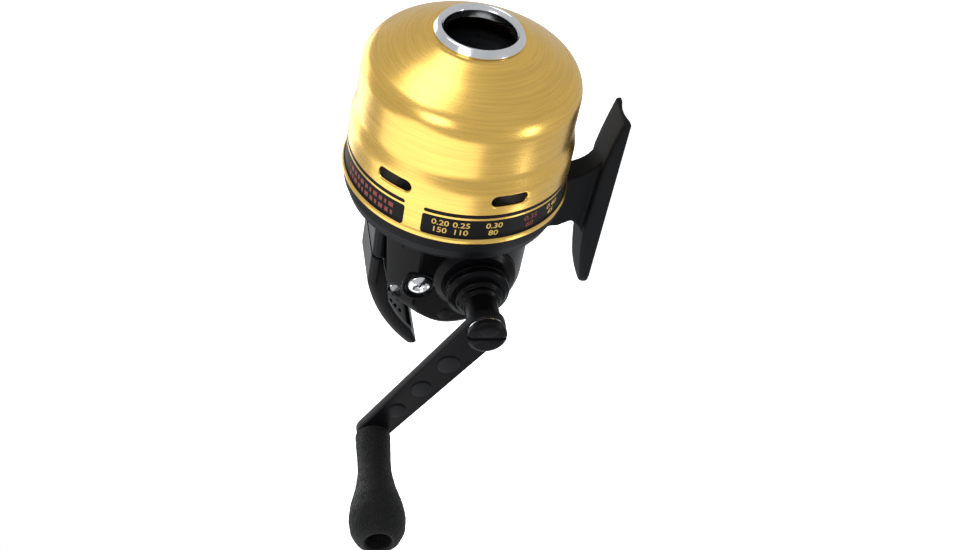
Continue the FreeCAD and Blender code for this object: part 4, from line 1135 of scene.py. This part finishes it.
class REEL_OT_grip(bpy.types.Operator):
    """Make the soft grip with its leather grain"""
    bl_idname = "reel.grip"
    bl_label = "Grip"

    STEPS = 180
    ROW_PITCH = 0.24

    def execute(self, context):
        sizes = context.scene.reel_sizes
        outline = rounded([
            (1.7, 0.92), (4.85, 0.92, 0.5), (4.8, 4.5, 20), (4.6, 9.5, 20), (4.62, 14.0, 16), (5.5, 19.6, 12),
            (6.95, 24.8, 12), (7.62, 29.2, 7), (7.2, 33.2, 4.5), (5.6, 36.2, 2.2), (4.0, 36.78, 0.4),
            (3.42, 36.3, 0.3), (3.4, 30.7), (1.7, 30.65),
        ], 8)
        profile = self.resampled(outline, self.ROW_PITCH)
        verts, faces = turned_mesh(profile, ON_GRIP, self.STEPS)
        depth = sizes.grain_depth / MM
        grained = []
        for index, vert in enumerate(verts):
            radius, height = profile[index // self.STEPS]
            # the grain fades out at both ends and leaves the hollow end plain
            fade = 0.0
            if radius > 3.9:
                fade = max(0.0, min(1.0, (height - 1.2) / 0.8, (36.4 - height) / 1.2))
            axis = ON_GRIP @ Vector((0, 0, height))
            out = (vert - axis).normalized()
            near = noise.voronoi(vert * 0.95 + noise.noise_vector(vert * 0.9) * 0.35)[0]
            crease = min(1.0, (near[1] - near[0]) / 0.30)
            bumps = noise.noise(vert * 0.55) * 0.6
            grained.append(vert + out * depth * fade * (crease + bumps - 1.1))
        grip = new_piece("crank_grip", grained, faces, "knob", "grip_rubber", finishes()["grip_rubber"], 50)
        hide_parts("grip")
        return {"FINISHED"}

    @staticmethod
    def resampled(points, pitch):
        """A polyline with no stretch longer than the pitch."""
        line = []
        for start, end in zip(points, points[1:]):
            start, end = Vector(start), Vector(end)
            parts = max(1, math.ceil((end - start).length / pitch))
            line += [tuple(start.lerp(end, n / parts)) for n in range(parts)]
        return line + [points[-1]]


# ---------------------------------------------------------------- inside

class REEL_OT_line(bpy.types.Operator):
    """Wind the line on the spool, turn by turn"""
    bl_idname = "reel.line"
    bl_label = "Wound line"

    def execute(self, context):
        pitch = context.scene.reel_sizes.line_pitch / MM
        low, high = 7.26, 16.74
        turns = int((high - low) / pitch)
        profile = []
        for n in range(turns):
            middle = low + (n + 0.5) * (high - low) / turns
            crown = 17.0 + 0.5 * math.sin(math.pi * (n + 0.5) / turns)
            for angle in (200, 160, 120, 90, 60, 20):
                u, v = polar(pitch / 2, angle)
                profile.append((crown + abs(v), middle + u))
        profile += [(9.02, high), (9.02, low)]
        nylon = finishes()["nylon_line"]
        line = turned("line_winding", profile, ON_SPOOL, "spool", "nylon_line", nylon, 96, 180)
        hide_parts("wound_line")
        return {"FINISHED"}


class REEL_OT_inner_parts(bpy.types.Operator):
    """Give every node that keeps its own shape the finish of its material slot"""
    bl_idname = "reel.inner_parts"
    bl_label = "Inner parts"

    def execute(self, context):
        finish = finishes()
        slots = {part["node"]: part["material_slot"] for part in frame["record"]["subparts"]}
        for name, node in frame["nodes"].items():
            if not node.data.materials:
                node.data.materials.append(finish[slots[name]])
            for slot in node.material_slots:
                slot.material = finish[slots[name]]
        return {"FINISHED"}


# ---------------------------------------------------------------- panel and registration

STEPS = (
    REEL_OT_stage, REEL_OT_inner_parts, REEL_OT_front_cover, REEL_OT_line_guide, REEL_OT_body,
    REEL_OT_thumb_button, REEL_OT_screws, REEL_OT_crank, REEL_OT_grip, REEL_OT_line,
)


class REEL_PT_sidebar(bpy.types.Panel):
    """Lists the reel's pieces, sizes and colours"""
    bl_label = "Spincast reel"
    bl_idname = "REEL_PT_sidebar"
    bl_space_type = "VIEW_3D"
    bl_region_type = "UI"
    bl_category = "Reel"

    def draw(self, context):
        layout = self.layout
        for group in (context.scene.reel_sizes, context.scene.reel_colours):
            box = layout.box()
            for key in group.bl_rna.properties.keys():
                if key not in ("rna_type", "name"):
                    box.prop(group, key)
        for step in STEPS:
            layout.operator(step.bl_idname)


CLASSES = (ReelSizes, ReelColours, *STEPS, REEL_PT_sidebar)


def register():
    for item in CLASSES:
        bpy.utils.register_class(item)
    bpy.types.Scene.reel_sizes = bpy.props.PointerProperty(type=ReelSizes)
    bpy.types.Scene.reel_colours = bpy.props.PointerProperty(type=ReelColours)


def unregister():
    del bpy.types.Scene.reel_colours
    del bpy.types.Scene.reel_sizes
    for item in reversed(CLASSES):
        bpy.utils.unregister_class(item)


def main():
    register()
    bpy.ops.reel.stage()
    bpy.ops.reel.inner_parts()
    bpy.ops.reel.front_cover()
    bpy.ops.reel.line_guide()
    bpy.ops.reel.body()
    bpy.ops.reel.thumb_button()
    bpy.ops.reel.screws()
    bpy.ops.reel.crank()
    bpy.ops.reel.grip()
    bpy.ops.reel.line()
    bpy.context.view_layer.update()


if __name__ == "__main__":
    main()
